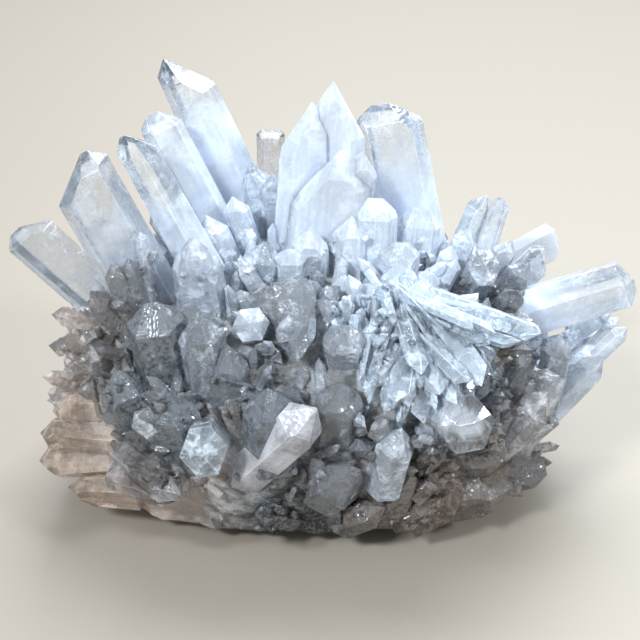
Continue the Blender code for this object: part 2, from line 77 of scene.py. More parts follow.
# %% Large crystals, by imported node
LARGE = {
    "crystal_tall_left": [
        Crystal("tall_left", (-26.5, 19.0, 81.0), -22, -3, 9.5, 8.0, 50,
                tip_shift=-0.48, steep=0.95, taper=0.006),
    ],
    "crystal_left_second": [
        Crystal("left_second", (-28.0, 9.0, 73.0), -25, -3, 8.0, 6.5, 41,
                roll=20, tip_shift=-0.2, steep=0.8, chisel=0.3),
    ],
    "crystal_left_third": [
        Crystal("left_third", (-32.0, -1.0, 72.0), -25, -3, 8.0, 6.5, 41,
                roll=-15, tip_shift=-0.35, steep=0.9, chisel=0.15, taper=0.007),
    ],
    "crystal_far_left_tall": [
        Crystal("far_left_tall", (-38.0, -7.0, 71.0), -23, 3, 12.0, 7.0, 41,
                roll=10, tip_shift=0.5, steep=0.75, chisel=0.1, taper=0.002),
    ],
    "crystal_far_left_low": [
        Crystal("far_left_low", (-56.0, 5.0, 50.5), -44, -3, 10.0, 6.5, 33,
                roll=15, tip_shift=-0.4, steep=0.6, chisel=0.25),
    ],
    "crystal_back_small": [
        Crystal("back_small", (-6.5, 30.5, 63.0), 0, -12, 6.0, 5.0, 34,
                steep=0.6, chisel=0.6),
    ],
    "crystals_centre_blades": [
        Crystal("centre_blade", (6.5, 9.0, 79.5), 3, -3, 13.0, 5.5, 37,
                roll=-8, tip_shift=0.1, steep=1.5, taper=0.012),
        Crystal("centre_left", (2.5, 7.0, 76.0), 1, -3, 8.5, 5.0, 35,
                roll=15, tip_shift=0.2, steep=1.3, taper=0.014),
        Crystal("centre_front", (8.5, 1.0, 68.5), 4, 0, 14.0, 7.5, 33,
                roll=-8, tip_shift=0.3, steep=1.1, chisel=0.1, taper=0.01),
        Crystal("centre_right", (12.0, 2.0, 68.0), 11, -3, 8.0, 5.0, 33,
                roll=15, taper=0.006),
    ],
    "crystal_right_tall": [
        Crystal("right_tall", (15.5, 12.0, 74.0), -12, -1, 13.0, 8.0, 36,
                roll=-8, tip_shift=-0.25, steep=0.7, chisel=0.28, taper=0.003),
    ],
    "crystal_right_tall_back": [
        Crystal("right_tall_back", (12.5, 22.0, 68.0), -9, -5, 5.5, 4.5, 35),
    ],
    "crystals_back_right": [
        Crystal("back_right_a", (38.0, 15.5, 54.0), 20, 0, 6.0, 4.5, 19,
                roll=10, steep=0.8),
        Crystal("back_right_b", (40.5, 13.5, 54.5), 11, -1, 4.5, 3.5, 24,
                roll=-10, steep=0.7),
    ],
    "crystal_white_blade": [
        Crystal("white_blade", (56.5, 30.5, 39.0), 66, -16, 9.5, 5.0, 33,
                tip_shift=-0.3, steep=0.5, chisel=0.25),
    ],
    "crystal_right_clear": [
        Crystal("right_clear", (49.0, 7.0, 46.5), 40, 0, 7.0, 5.0, 23,
                roll=10, tip_shift=-0.3, steep=0.7),
    ],
    "crystal_right_big": [
        Crystal("right_big", (64.5, -4.0, 43.5), 68, 5, 10.5, 8.5, 34,
                roll=10, tip_shift=0.2, steep=0.45, chisel=0.25, taper=0.003),
    ],
    "crystal_right_low_a": [
        Crystal("right_low_a", (65.0, -2.0, 33.0), 38, 0, 4.0, 3.0, 31),
    ],
    "crystal_right_low_b": [
        Crystal("right_low_b", (65.0, 4.0, 32.0), 36, 0, 3.0, 2.5, 32),
    ],
    "crystal_right_low_c": [
        Crystal("right_low_c", (59.0, -9.0, 30.5), 33, 4, 6.0, 4.5, 24, roll=12),
    ],
    "crystal_fan_blade": [
        Crystal("fan_a", (33.5, -29.0, 38.5), 103, 50, 6.5, 4.0, 22,
                roll=20, tip_shift=0.2, steep=1.1),
    ],
    "crystal_front_hexagon": [
        Crystal("hex_low", (29.0, -36.0, 32.5), 2, 60, 10.0, 9.0, 18,
                roll=12, steep=0.35, chisel=0.25),
    ],
    "crystal_front_slant": [
        Crystal("front_slant", (3.5, -37.0, 36.5), 34, 20, 9.0, 6.5, 26,
                roll=12, tip_shift=-0.1, steep=1.2),
    ],
    "crystal_front_bright": [
        Crystal("front_bright", (-16.1, -38.5, 27.7), 0, 72, 9.0, 8.5, 16,
                roll=10, steep=0.5),
    ],
    "crystals_petals": [
        Crystal("petal_a", (-47.3, -16.0, 22.3), -97, -12, 7.5, 4.5, 15,
                roll=10, taper=0.01),
        Crystal("petal_b", (-49.9, -17.0, 17.9), -94, -14, 7.5, 5.0, 18,
                roll=-10, steep=0.9, taper=0.01),
        Crystal("petal_c", (-50.6, -18.0, 12.1), -104, -10, 7.5, 5.0, 17,
                roll=20, steep=0.9, taper=0.01),
        Crystal("petal_d", (-44.8, -21.0, 8.1), -96, -12, 7.0, 5.0, 15,
                roll=-15, steep=1.1, taper=0.01),
        Crystal("front_clear", (-20.5, -37.0, 18.0), 92, 48, 6.5, 5.5, 18,
                roll=12, chisel=0.2),
    ],
}
print(len(LARGE), "large pieces")

# %% Crystals of the crust that are seen one by one
PLACED = [
    Crystal("right_grey", (49.3, -12.0, 36.3), 3, 8, 5.0, 4.0, 18),
    Crystal("right_lump", (46.0, -21.0, 29.5), 29, 10, 7.0, 6.5, 15, roll=10, steep=0.95),
    Crystal("hexagon_low", (40.5, -15.0, 40.0), 2, 60, 6.8, 6.0, 20, roll=10, steep=0.35),
    Crystal("hexagon_high", (34.7, -9.0, 49.6), 4, 50, 6.5, 6.5, 24, roll=5, steep=0.35),
    Crystal("fan_b", (30.6, -31.5, 35.4), 124, 58, 3.6, 2.4, 22),
    Crystal("fan_c", (28.5, -33.0, 33.5), 140, 61, 5.0, 3.2, 24, roll=-10, steep=1.55),
    Crystal("fan_d", (25.7, -35.0, 29.9), 162, 59, 4.6, 3.0, 26, roll=10),
    Crystal("fan_e", (21.9, -34.5, 31.6), -179, 64, 4.2, 2.8, 25),
    Crystal("fan_f", (18.4, -33.0, 34.7), -151, 68, 3.6, 2.6, 22, roll=15),
    Crystal("fan_g", (15.0, -34.5, 33.4), -137, 62, 4.4, 3.0, 25, steep=1.55),
    Crystal("fan_h", (13.0, -31.0, 36.7), -116, 58, 3.4, 2.6, 22, roll=-15),
    Crystal("fan_i", (24.5, -33.0, 36.5), 151, 74, 4.4, 3.0, 22),
    Crystal("fan_upper_a", (37.3, -21.0, 44.7), 77, 21, 2.2, 1.6, 20),
    Crystal("fan_upper_b", (36.3, -23.0, 42.5), 84, 29, 3.0, 2.2, 19),
    Crystal("fan_upper_c", (35.6, -25.0, 40.8), 91, 36, 2.6, 1.8, 20),
    Crystal("front_blue", (-4.9, -33.0, 37.9), -2, 12, 8.5, 7.0, 18, roll=8),
    Crystal("front_round", (-27.0, -31.0, 31.0), -13, 40, 6.5, 5.5, 13, roll=15, steep=0.95),
    Crystal("left_edge", (-47.0, -9.0, 39.5), -81, 0, 4.0, 3.0, 20),
    Crystal("left_small", (-38.5, -12.0, 46.0), -35, 5, 5.0, 4.0, 16),
    Crystal("low_left", (-32.5, -15.0, 41.0), -30, 20, 5.0, 4.0, 12),
    Crystal("smoky_a", (-30.5, -14.0, 53.5), -10, 5, 3.0, 2.5, 20),
    Crystal("smoky_b", (-29.0, -12.0, 58.5), -7, 0, 3.0, 2.5, 24),
    Crystal("shield", (-18.9, -13.0, 57.0), -6, 5, 8.5, 5.0, 23, steep=1.05, chisel=0.1),
    Crystal("left_facet", (-25.8, -21.5, 48.3), -8, 8, 10.5, 8.0, 20, steep=0.85, chisel=0.2),
    Crystal("left_light", (-17.4, -24.0, 47.4), -5, 8, 7.5, 6.0, 18, steep=1.05),
    Crystal("mid_a", (-6.2, -7.0, 53.4), 6, 10, 7.5, 5.5, 17, steep=0.9, chisel=0.1),
    Crystal("mid_b", (-1.2, -8.0, 52.6), 2, 12, 6.0, 4.5, 17, steep=0.8, chisel=0.3),
    Crystal("mid_c", (2.3, -6.0, 56.2), 2, 10, 6.5, 5.0, 17, steep=1.1),
    Crystal("mid_d", (0.9, -15.0, 49.8), 4, 18, 9.0, 7.5, 17, roll=8, steep=0.9, chisel=0.15),
    Crystal("mid_e", (-4.9, -18.0, 49.7), -6, 22, 9.0, 7.0, 17, roll=-12, steep=0.8, chisel=0.15),
    Crystal("mid_f", (-1.6, -21.0, 48.6), 2, 30, 7.0, 6.0, 16, roll=20, steep=0.8),
    Crystal("disc", (-8.3, -22.5, 44.7), -2, 55, 6.5, 5.5, 15, roll=5, steep=0.4),
    Crystal("small_disc", (-5.3, -25.0, 41.2), 5, 58, 3.0, 2.5, 14, steep=0.5),
    Crystal("tip_down", (0.2, -29.0, 40.7), 172, 62, 6.5, 4.5, 16, roll=10, steep=1.3),
    Crystal("grey_mid", (8.0, -24.5, 45.5), -4, 20, 7.5, 6.0, 16, steep=0.85),
    Crystal("white_a", (8.5, -12.5, 49.5), 0, 20, 4.5, 4.0, 12, steep=1.05),
    Crystal("white_b", (14.5, -14.5, 48.4), -3, 25, 8.5, 6.5, 16, steep=0.75, chisel=0.2),
    Crystal("white_c", (18.5, -10.0, 50.0), -4, 20, 6.5, 5.5, 14, steep=0.95, chisel=0.2),
    Crystal("white_d", (24.0, -9.0, 48.5), 3, 25, 5.5, 4.5, 14, steep=0.95),
    Crystal("white_e", (20.0, -15.0, 48.5), 0, 35, 4.5, 3.5, 14, steep=0.95),
    Crystal("dark_right", (40.5, -13.0, 46.5), 19, 30, 5.0, 4.0, 18, steep=1.05),
    Crystal("low_right", (23.0, -33.0, 29.0), -11, 35, 5.0, 4.5, 13, steep=1.15),
    Crystal("grey_low_a", (-12.1, -25.5, 42.1), 3, 10, 7.0, 6.0, 17, steep=1.15),
    Crystal("grey_low_b", (7.8, -31.0, 37.7), 2, 12, 8.0, 6.5, 18, roll=-12, steep=0.95),
    Crystal("grey_low_c", (18.1, -34.5, 30.8), 10, 15, 7.0, 5.5, 16, roll=15, steep=1.15),
    Crystal("dark_low_a", (-32.3, -23.0, 35.1), -15, 10, 9.5, 7.5, 18, roll=10, steep=0.95, chisel=0.2),
    Crystal("dark_low_b", (-22.6, -29.0, 35.5), -5, 12, 9.0, 7.0, 18, roll=-15, steep=1.05),
    Crystal("edge_warm", (-40.2, -12.0, 37.8), -30, 5, 8.0, 6.5, 18, roll=10, steep=0.95),
    Crystal("right_low_d", (60.7, -1.0, 28.3), 45, 3, 4.5, 3.5, 20, roll=15),
    Crystal("right_low_e", (55.9, -7.0, 27.4), 38, 8, 5.0, 4.0, 18),
    Crystal("right_low_f", (62.8, 2.5, 34.0), 52, 0, 3.5, 2.8, 22),
    Crystal("right_back_low", (62.6, 8.0, 26.9), 48, -8, 5.0, 4.0, 20, roll=-15),
    Crystal("between_a", (-5.4, 10.0, 60.8), -3, -2, 4.5, 3.5, 22),
    Crystal("between_b", (-12.9, 4.0, 58.3), -14, 0, 5.0, 4.0, 18, steep=0.95),
    Crystal("between_c", (-9.9, 13.0, 62.0), -14, -3, 6.0, 4.5, 26, steep=1.15),
    Crystal("between_d", (-27.4, -2.0, 59.1), -30, 0, 5.0, 4.0, 18),
    Crystal("between_e", (-17.8, 0.0, 56.1), -18, 0, 6.5, 5.0, 18, steep=0.95),
    Crystal("between_f", (-0.6, 2.0, 55.9), -4, 0, 4.5, 4.0, 16),
    Crystal("block_a", (14.1, -1.0, 59.9), 3, -4, 9.0, 6.0, 22, steep=0.85, chisel=0.4),
    Crystal("block_b", (23.2, 3.0, 56.3), 6, -3, 8.5, 6.0, 22, steep=0.95, chisel=0.3),
    Crystal("block_c", (9.9, -4.0, 57.7), 0, 0, 6.0, 5.0, 16, steep=1.05),
    Crystal("block_d", (19.3, -6.0, 53.1), 4, 8, 7.5, 6.0, 16, steep=0.85, chisel=0.3),
    Crystal("right_a", (32.9, 2.0, 52.5), 18, 0, 5.0, 3.5, 18),
    Crystal("right_b", (29.1, -2.0, 50.7), 12, 0, 4.0, 3.5, 16),
    Crystal("right_c", (44.8, 0.0, 46.2), 35, 0, 5.5, 4.5, 18),
    Crystal("right_d", (41.7, 4.0, 49.1), 25, 0, 4.5, 3.5, 16),
    Crystal("smoky_c", (-33.4, -14.0, 52.7), -14, 5, 4.5, 3.5, 18),
    Crystal("edge_low", (-46.5, -8.0, 31.2), -80, 5, 6.0, 5.0, 12, roll=15),
    Crystal("edge_lower", (-46.4, -10.0, 24.4), -85, 10, 7.0, 6.0, 12, roll=-20),
]
CRUST = [replace(crystal, taper=0.015) for crystal in PLACED]
print(len(CRUST), "crust crystals placed one by one")

# %% [markdown]
# ## The mound
# The rock is a low mound with a flat broken foot. Its outline is a rounded rectangle that
# changes with height. The rest of the crust follows from it: points spread evenly over the
# mound by turning the golden angle, each with a crystal that points away from the heart.

# %% The mound's measures
MOUND_HALF_WIDTH = 46.0
MOUND_HALF_DEPTH = 30.5
MOUND_HEIGHT = 46.0
MOUND_SHIFT_X = 1.5
MOUND_SQUARENESS = 2.4
MOUND_RELIEF = 1.9
MOUND_RINGS = np.array([
    (0.0, 0.78), (3.5, 0.96), (10.0, 1.04), (19.0, 1.05), (28.0, 0.98),
    (36.0, 0.84), (41.5, 0.62), (45.0, 0.35), (46.0, 0.12),
])
LUMP_SIZE = 9.0
SMALL_LUMP_SIZE = 4.0
SMALL_LUMP_SHARE = 0.7
HEART = Vector((0.0, 0.0, -6.0))
FRONT_LEAN_SHARE = 0.55
GOLDEN_ANGLE = math.radians(137.508)
CRUST_COUNT = 165
CRUST_LOWEST = 9.0


# %% A point of the mound's skin
def mound_outline(azimuth, height):
    """Points of the smooth mound, as arrays.

    The outline is the rounded rectangle |x|^p + |y|^p = 1, stretched to the half width and
    half depth and scaled by the ring that belongs to the height.
    """
    across, away = np.cos(azimuth), np.sin(azimuth)
    power = MOUND_SQUARENESS
    reach = (np.abs(across) ** power + np.abs(away) ** power) ** (-1.0 / power)
    scale = np.interp(height, MOUND_RINGS[:, 0], MOUND_RINGS[:, 1]) * reach
    return np.stack([MOUND_SHIFT_X + MOUND_HALF_WIDTH * scale * across,
                     MOUND_HALF_DEPTH * scale * away, height + 0.0 * scale], axis=-1)


def mound_point(azimuth, height):
    """One point of the lumpy mound, where a crust crystal has its root."""
    point = Vector(mound_outline(np.float64(azimuth), np.float64(height)))
    lump = noise.noise(point / LUMP_SIZE)
    lump += SMALL_LUMP_SHARE * noise.noise(point / SMALL_LUMP_SIZE)
    return point + Vector((math.cos(azimuth), math.sin(azimuth), 0.0)) * MOUND_RELIEF * lump


def height_at(share):
    """Height on the mound below which this share of the crust's area lies."""
    bands = []
    for (low, wide), (high, narrow) in zip(MOUND_RINGS, MOUND_RINGS[1:]):
        if high > CRUST_LOWEST:
            slant = math.hypot(high - low, (wide - narrow) * MOUND_HALF_DEPTH)
            bands.append((max(low, CRUST_LOWEST), high, slant * (wide + narrow)))
    left = share * sum(area for _, _, area in bands)
    for low, high, area in bands:
        if left <= area:
            return low + (high - low) * left / area
        left -= area
    return MOUND_HEIGHT


print("half of the crust grows below", round(height_at(0.5), 1), "mm")


# %% Directions of a crystal
def axes_of(crystal):
    """Right, back and tip directions of a crystal, as the columns of a matrix."""
    lean, toward = math.radians(crystal.lean), math.radians(crystal.toward)
    up = Vector((math.sin(lean) * math.cos(toward), -math.sin(toward),
                 math.cos(lean) * math.cos(toward)))
    right = Vector((0.0, 1.0, 0.0)).cross(up).normalized()
    return Matrix((right, up.cross(right), up)).transposed()


def nearness(point, crystal):
    """Distance from a point to a crystal's axis, less its half width."""
    tip = Vector(crystal.tip)
    up = axes_of(crystal).col[2]
    along = max(-crystal.length, min(0.0, (point - tip).dot(up)))
    return (point - tip - up * along).length - crystal.width / 2.0


# %% The crust that follows the rule
STRAY = 0.5
LEAST_HEIGHT, ROOM_BY_LARGE, ROOM_BY_PLACED = 0.75, 0.45, 0.1


def rule_direction(root, draw):
    """The way a crust crystal points: away from the heart, with a stray of its own."""
    away = root - HEART
    away.y *= FRONT_LEAN_SHARE
    stray = Vector((draw.uniform(-1, 1), draw.uniform(-1, 1), draw.uniform(-1, 1)))
    return (away.normalized() + STRAY * stray).normalized()


def has_room(tip, root_end, width):
    """True where a crust crystal stays off the table, the large crystals and the placed.

    Each distance that it keeps is a share of its own width.
    """
    if min(tip.z, root_end.z) < LEAST_HEIGHT * width:
        return False
    for others, share in ((large_crystals, ROOM_BY_LARGE), (CRUST, ROOM_BY_PLACED)):
        if any(nearness(tip, other) < share * width for other in others):
            return False
    return True


def rule_crust():
    """Stubby crystals spread evenly over the mound, where no placed crystal grows."""
    crust = []
    draw = random.Random("crust")
    for count in range(CRUST_COUNT):
        root = mound_point(count * GOLDEN_ANGLE, height_at((count + 0.5) / CRUST_COUNT))
        up = rule_direction(root, draw)
        width = draw.uniform(5.0, 11.0)
        rise = draw.uniform(4.5, 9.0) * (1.0 - 0.5 * abs(up.x))
        length = rise + 1.5 + 0.8 * width
        tip = root + up * rise
        if not has_room(tip, tip - up * length, width):
            continue
        crust.append(Crystal(
            f"crust_{count}", tuple(tip), math.degrees(math.atan2(up.x, up.z)),
            -math.degrees(math.asin(up.y)), width, width * 0.8, length,
            roll=draw.uniform(-40.0, 40.0), tip_shift=draw.uniform(-0.5, 0.5),
            steep=draw.uniform(0.8, 1.7), chisel=draw.uniform(0.0, 0.35),
            taper=draw.uniform(0.0, 0.04)))
    return crust


large_crystals = [crystal for group in LARGE.values() for crystal in group]
RULED = rule_crust()
print(len(RULED), "crust crystals placed by the rule")

# %% [markdown]
# ## Colour zones
# The real cluster isn't one colour. The top is milky and bluish white, the middle is frosted
# grey, chlorite makes some hollows grey-green and nearly black, and the left rim is brownish,
# partly from iron and partly as a painted warm reflection from below. A zone is a soft ball in
# space with three shares: milky, dark and warm. Every mesh below stores the mix of the zones
# at its points, and the finishes read it.

# %% The zones and how they blend
ZONES = np.array([
    # x, y, z, radius, weight, milky, dark, warm
    (-25.0, 5.0, 56.0, 14.0, 1.0, 0.72, 0.02, 0.00),
    (5.0, 0.0, 56.0, 14.0, 1.4, 0.85, 0.00, 0.00),
    (18.0, -12.0, 48.0, 9.0, 3.0, 1.00, 0.00, 0.00),
    (28.0, 8.0, 50.0, 10.0, 1.2, 0.75, 0.08, 0.00),
    (-14.0, -10.0, 54.0, 9.0, 1.4, 0.62, 0.10, 0.02),
    (-1.0, -17.0, 46.0, 8.0, 1.8, 0.42, 0.42, 0.10),
    (-24.0, -20.0, 42.0, 9.0, 1.4, 0.30, 0.38, 0.04),
    (-38.0, -12.0, 46.0, 10.0, 1.4, 0.18, 0.50, 0.30),
    (-28.0, -26.0, 29.0, 10.0, 2.0, 0.12, 0.85, 0.12),
    # Warm rows at the lower left and the foot: partly iron, partly a painted warm reflection from below
    (-46.0, -12.0, 32.0, 9.0, 2.0, 0.50, 0.08, 0.65),
    (-44.0, -18.0, 17.0, 11.0, 1.8, 0.40, 0.05, 0.65),
    (-28.0, -28.0, 8.0, 13.0, 2.0, 0.60, 0.00, 0.60),
    (-10.0, -27.0, 36.0, 8.0, 1.4, 0.25, 0.50, 0.03),
    (26.0, -26.0, 34.0, 9.0, 2.0, 0.75, 0.00, 0.00),
    (58.0, -3.0, 30.0, 9.0, 2.0, 0.75, 0.00, 0.00),
    (36.0, -6.0, 41.0, 6.0, 2.0, 0.12, 0.90, 0.05),
    (42.0, -12.0, 44.0, 5.0, 1.6, 0.15, 0.80, 0.05),
    (36.0, -22.0, 32.0, 6.0, 2.2, 0.08, 1.00, 0.05),
    (45.0, -20.0, 26.0, 8.0, 2.0, 0.50, 0.15, 0.25),
    (4.0, -32.0, 25.0, 11.0, 1.2, 0.32, 0.40, 0.08),
    (-2.0, -32.0, 6.0, 10.0, 3.0, 0.00, 1.00, 0.15),
    (26.0, -28.0, 7.0, 13.0, 3.0, 0.12, 0.80, 0.70),
    (0.0, 28.0, 30.0, 22.0, 0.8, 0.55, 0.20, 0.10),
    (-30.0, 25.0, 20.0, 15.0, 0.8, 0.40, 0.30, 0.30),
    (30.0, 25.0, 15.0, 15.0, 0.8, 0.35, 0.50, 0.15),
])

# Small rust stains between the crystals and one painted gold glint, in the same columns
STAINS_AND_GLINT = np.array([
    (-12.2, -32.0, 29.5, 1.8, 30.0, 0.50, 0.00, 1.00),
    (5.8, -33.0, 30.0, 2.0, 30.0, 0.50, 0.00, 1.00),
    (40.0, -17.0, 34.5, 1.8, 30.0, 0.50, 0.00, 1.00),
    # Not rust: a painted gold glint, a small orange spot where a highlight shines
    (38.7, -27.5, 18.5, 1.4, 30.0, 0.50, 0.00, 1.00),
])

# The faint zone that fills the rest: its weight and its shares
EVEN_WEIGHT = 0.06
EVEN_SHARES = np.array([0.45, 0.25, 0.08])


def zone_looks(points, zones=ZONES):
    """Milky, dark and warm shares at points in millimetres.

    Each zone weighs its weight x exp(-distance^2 / radius^2), and the shares are the mean
    over all zones and the even one.
    """
    apart = points[..., None, :] - zones[:, :3]
    weight = zones[:, 4] * np.exp(-np.sum(apart ** 2, axis=-1) / zones[:, 3] ** 2)
    total = weight.sum(axis=-1, keepdims=True) + EVEN_WEIGHT
    return (weight @ zones[:, 5:] + EVEN_WEIGHT * EVEN_SHARES) / total


def smooth_step(value, low, high):
    """0 below low, 1 above high and a smooth rise between."""
    share = np.clip((value - low) / (high - low), 0.0, 1.0)
    return share * share * (3.0 - 2.0 * share)


print(len(ZONES), "colour zones and", len(STAINS_AND_GLINT), "stains")


# %% A noise in numpy
def value_noise(points, size, seed):
    """Smooth random values from -1 to 1 at points in millimetres.

    Random numbers sit at the corners of a lattice with cells of the given size, and the
    value inside a cell is their smooth blend. The large odd numbers only stir the bits of
    a corner's number.
    """
    scaled = points / size
    cell = np.floor(scaled).astype(np.int64)
    inside = scaled - cell
    inside = inside * inside * (3.0 - 2.0 * inside)
    total = np.zeros(points.shape[:-1])
    for corner in range(8):
        step = np.array([corner & 1, corner >> 1 & 1, corner >> 2 & 1])
        key = (cell + step) @ np.array([73856093, 19349663, 83492791]) + seed * 2654435761
        key = (key ^ (key >> 13)) * 1274126177 & 0x7FFFFFFF
        key = (key ^ (key >> 15)) * 668265263 & 0x7FFFFFFF
        share = np.prod(np.where(step == 1, inside, 1.0 - inside), axis=-1)
        total += share * (key / 0x3FFFFFFF - 1.0)
    return total


# %% [markdown]
# ## Finishes
# Quartz is clear where it grew slowly and milky where it trapped tiny bubbles. The clear
# share is plain transmission with quartz's refractive index, the milky share scatters light
# under the skin, and noise makes the ragged veils between them. The prism faces carry fine
# growth lines across the crystal's length, which follow the piece's own UV map.

# %% Node helpers
def new_finish(name):
    """A material with its node tree, texture coordinates and the mesh's three shares."""
    material = bpy.data.materials.new(name)
    material.use_nodes = True
    tree = material.node_tree
    place = tree.nodes.new("ShaderNodeTexCoord")
    looks = tree.nodes.new("ShaderNodeVertexColor")
    looks.layer_name = "looks"
    shares = tree.nodes.new("ShaderNodeSeparateColor")
    tree.links.new(looks.outputs["Color"], shares.inputs[0])
    return material, tree, place.outputs, shares.outputs


def maths(tree, operation, first, second, clamp=False):
    """A Math node whose two inputs are numbers or other nodes' outputs."""
    made = tree.nodes.new("ShaderNodeMath")
    made.operation = operation
    made.use_clamp = clamp
    for socket, value in zip(made.inputs, (first, second)):
        if isinstance(value, (int, float)):
            socket.default_value = value
        else:
            tree.links.new(value, socket)
    return made.outputs[0]


def mix_colour(tree, share, first, second):
    """A Mix node between two colours, each a tuple or another node's output."""
    made = tree.nodes.new("ShaderNodeMix")
    made.data_type = "RGBA"
    sockets = (made.inputs[0], made.inputs[6], made.inputs[7])
    for socket, value in zip(sockets, (share, first, second)):
        if isinstance(value, tuple):
            socket.default_value = (*value, 1.0)
        elif isinstance(value, float):
            socket.default_value = value
        else:
            tree.links.new(value, socket)
    return made.outputs[2]


def ramp(tree, value, low, high, start=0.0, end=1.0):
    """A smooth Map Range from low..high to start..end."""
    made = tree.nodes.new("ShaderNodeMapRange")
    made.interpolation_type = "SMOOTHSTEP"
    tree.links.new(value, made.inputs[0])
    for socket, number in zip(list(made.inputs)[1:5], (low, high, start, end)):
        socket.default_value = number
    return made.outputs[0]


def noise_of(tree, vector, scale, detail=3.0, roughness=0.55, distortion=0.0):
    """The value of a Noise texture of a scale per metre."""
    made = tree.nodes.new("ShaderNodeTexNoise")
    made.inputs["Scale"].default_value = scale
    made.inputs["Detail"].default_value = detail
    made.inputs["Roughness"].default_value = roughness
    made.inputs["Distortion"].default_value = distortion
    tree.links.new(vector, made.inputs["Vector"])
    return made.outputs[0]


def stretched(tree, vector, scale):
    """A vector multiplied by a scale for each of its axes."""
    made = tree.nodes.new("ShaderNodeMapping")
    made.inputs["Scale"].default_value = scale
    tree.links.new(vector, made.inputs["Vector"])
    return made.outputs["Vector"]


def raise_surface(tree, height, strength, distance):
    """Bump the shader's surface, where a height of one stands the distance proud, in metres."""
    bump = tree.nodes.new("ShaderNodeBump")
    bump.inputs["Strength"].default_value = strength
    bump.inputs["Distance"].default_value = distance
    tree.links.new(height, bump.inputs["Height"])
    tree.links.new(bump.outputs[0], tree.nodes["Principled BSDF"].inputs["Normal"])


# %% Veils, cracks and streaks in quartz
GRAIN_SCALE = 800.0
CRACK_WIDTH, CRACK_MILK = 0.012, 0.2
ALONG_CRYSTAL, ACROSS_CRYSTAL = (1.0, 0.12, 1.0), (0.12, 1.0, 1.0)


def veiled(tree, place, wisps, milky, wisp_scale, cloud, extra_milk):
    """The milky share with ragged veils, thin cracks and streaks along the crystal added.

    A crack is where a second noise comes near its middle value.
    """
    veil = ramp(tree, wisps, 0.42, 0.68, -0.6 * cloud, cloud)
    folds = noise_of(tree, place["Object"], 1.4 * wisp_scale, 2.0, 0.5, 0.8)
    crack = maths(tree, "ABSOLUTE", maths(tree, "SUBTRACT", folds, 0.5), 0.0)
    crack = ramp(tree, crack, 0.0, CRACK_WIDTH, CRACK_MILK + extra_milk, extra_milk)
    streaks = noise_of(tree, stretched(tree, place["UV"], ALONG_CRYSTAL), GRAIN_SCALE, 2.0, 0.5)
    streaks = ramp(tree, streaks, 0.35, 0.68, -0.15 * cloud, 0.35 * cloud)
    veil = maths(tree, "ADD", veil, streaks)
    return maths(tree, "ADD", maths(tree, "ADD", milky, veil), crack, clamp=True)


# %% The relief of quartz
LINE_SCALE, LINE_HEIGHT = 1300.0, 0.7
CHIP_SCALE, CHIP_HEIGHT = 1000.0, 2.5
QUARTZ_RELIEF = 0.0004


def raise_growth(tree, place, wisps, glitter, relief):
    """Growth lines across the crystal, and chips where the wisps rise above glitter."""
    lines = noise_of(tree, stretched(tree, place["UV"], ACROSS_CRYSTAL), LINE_SCALE, 1.0, 0.5)
    chips = tree.nodes.new("ShaderNodeTexVoronoi")
    chips.inputs["Scale"].default_value = CHIP_SCALE
    tree.links.new(place["Object"], chips.inputs["Vector"])
    broken = ramp(tree, wisps, glitter - 0.03, glitter + 0.05, 0.0, CHIP_HEIGHT)
    height = maths(tree, "MULTIPLY", chips.outputs["Distance"], broken)
    height = maths(tree, "ADD", height, maths(tree, "MULTIPLY", lines, LINE_HEIGHT))
    raise_surface(tree, height, relief, QUARTZ_RELIEF)


# %% The quartz finish
QUARTZ_IOR = 1.54
CLEAN, CLEAN_BLUE = (0.92, 0.96, 1.0), (0.86, 0.93, 1.0)
WARM_QUARTZ, RUST_AND_GLINT = (0.74, 0.56, 0.41), (0.80, 0.36, 0.08)
SMOKE, WARM_SMOKE, SMOKE_SOLIDITY = (0.09, 0.10, 0.10), (0.13, 0.085, 0.06), 0.6
GLOW_REACH = 0.003
INSIDE_COLOUR = (0.72, 0.84, 0.92, 1.0)


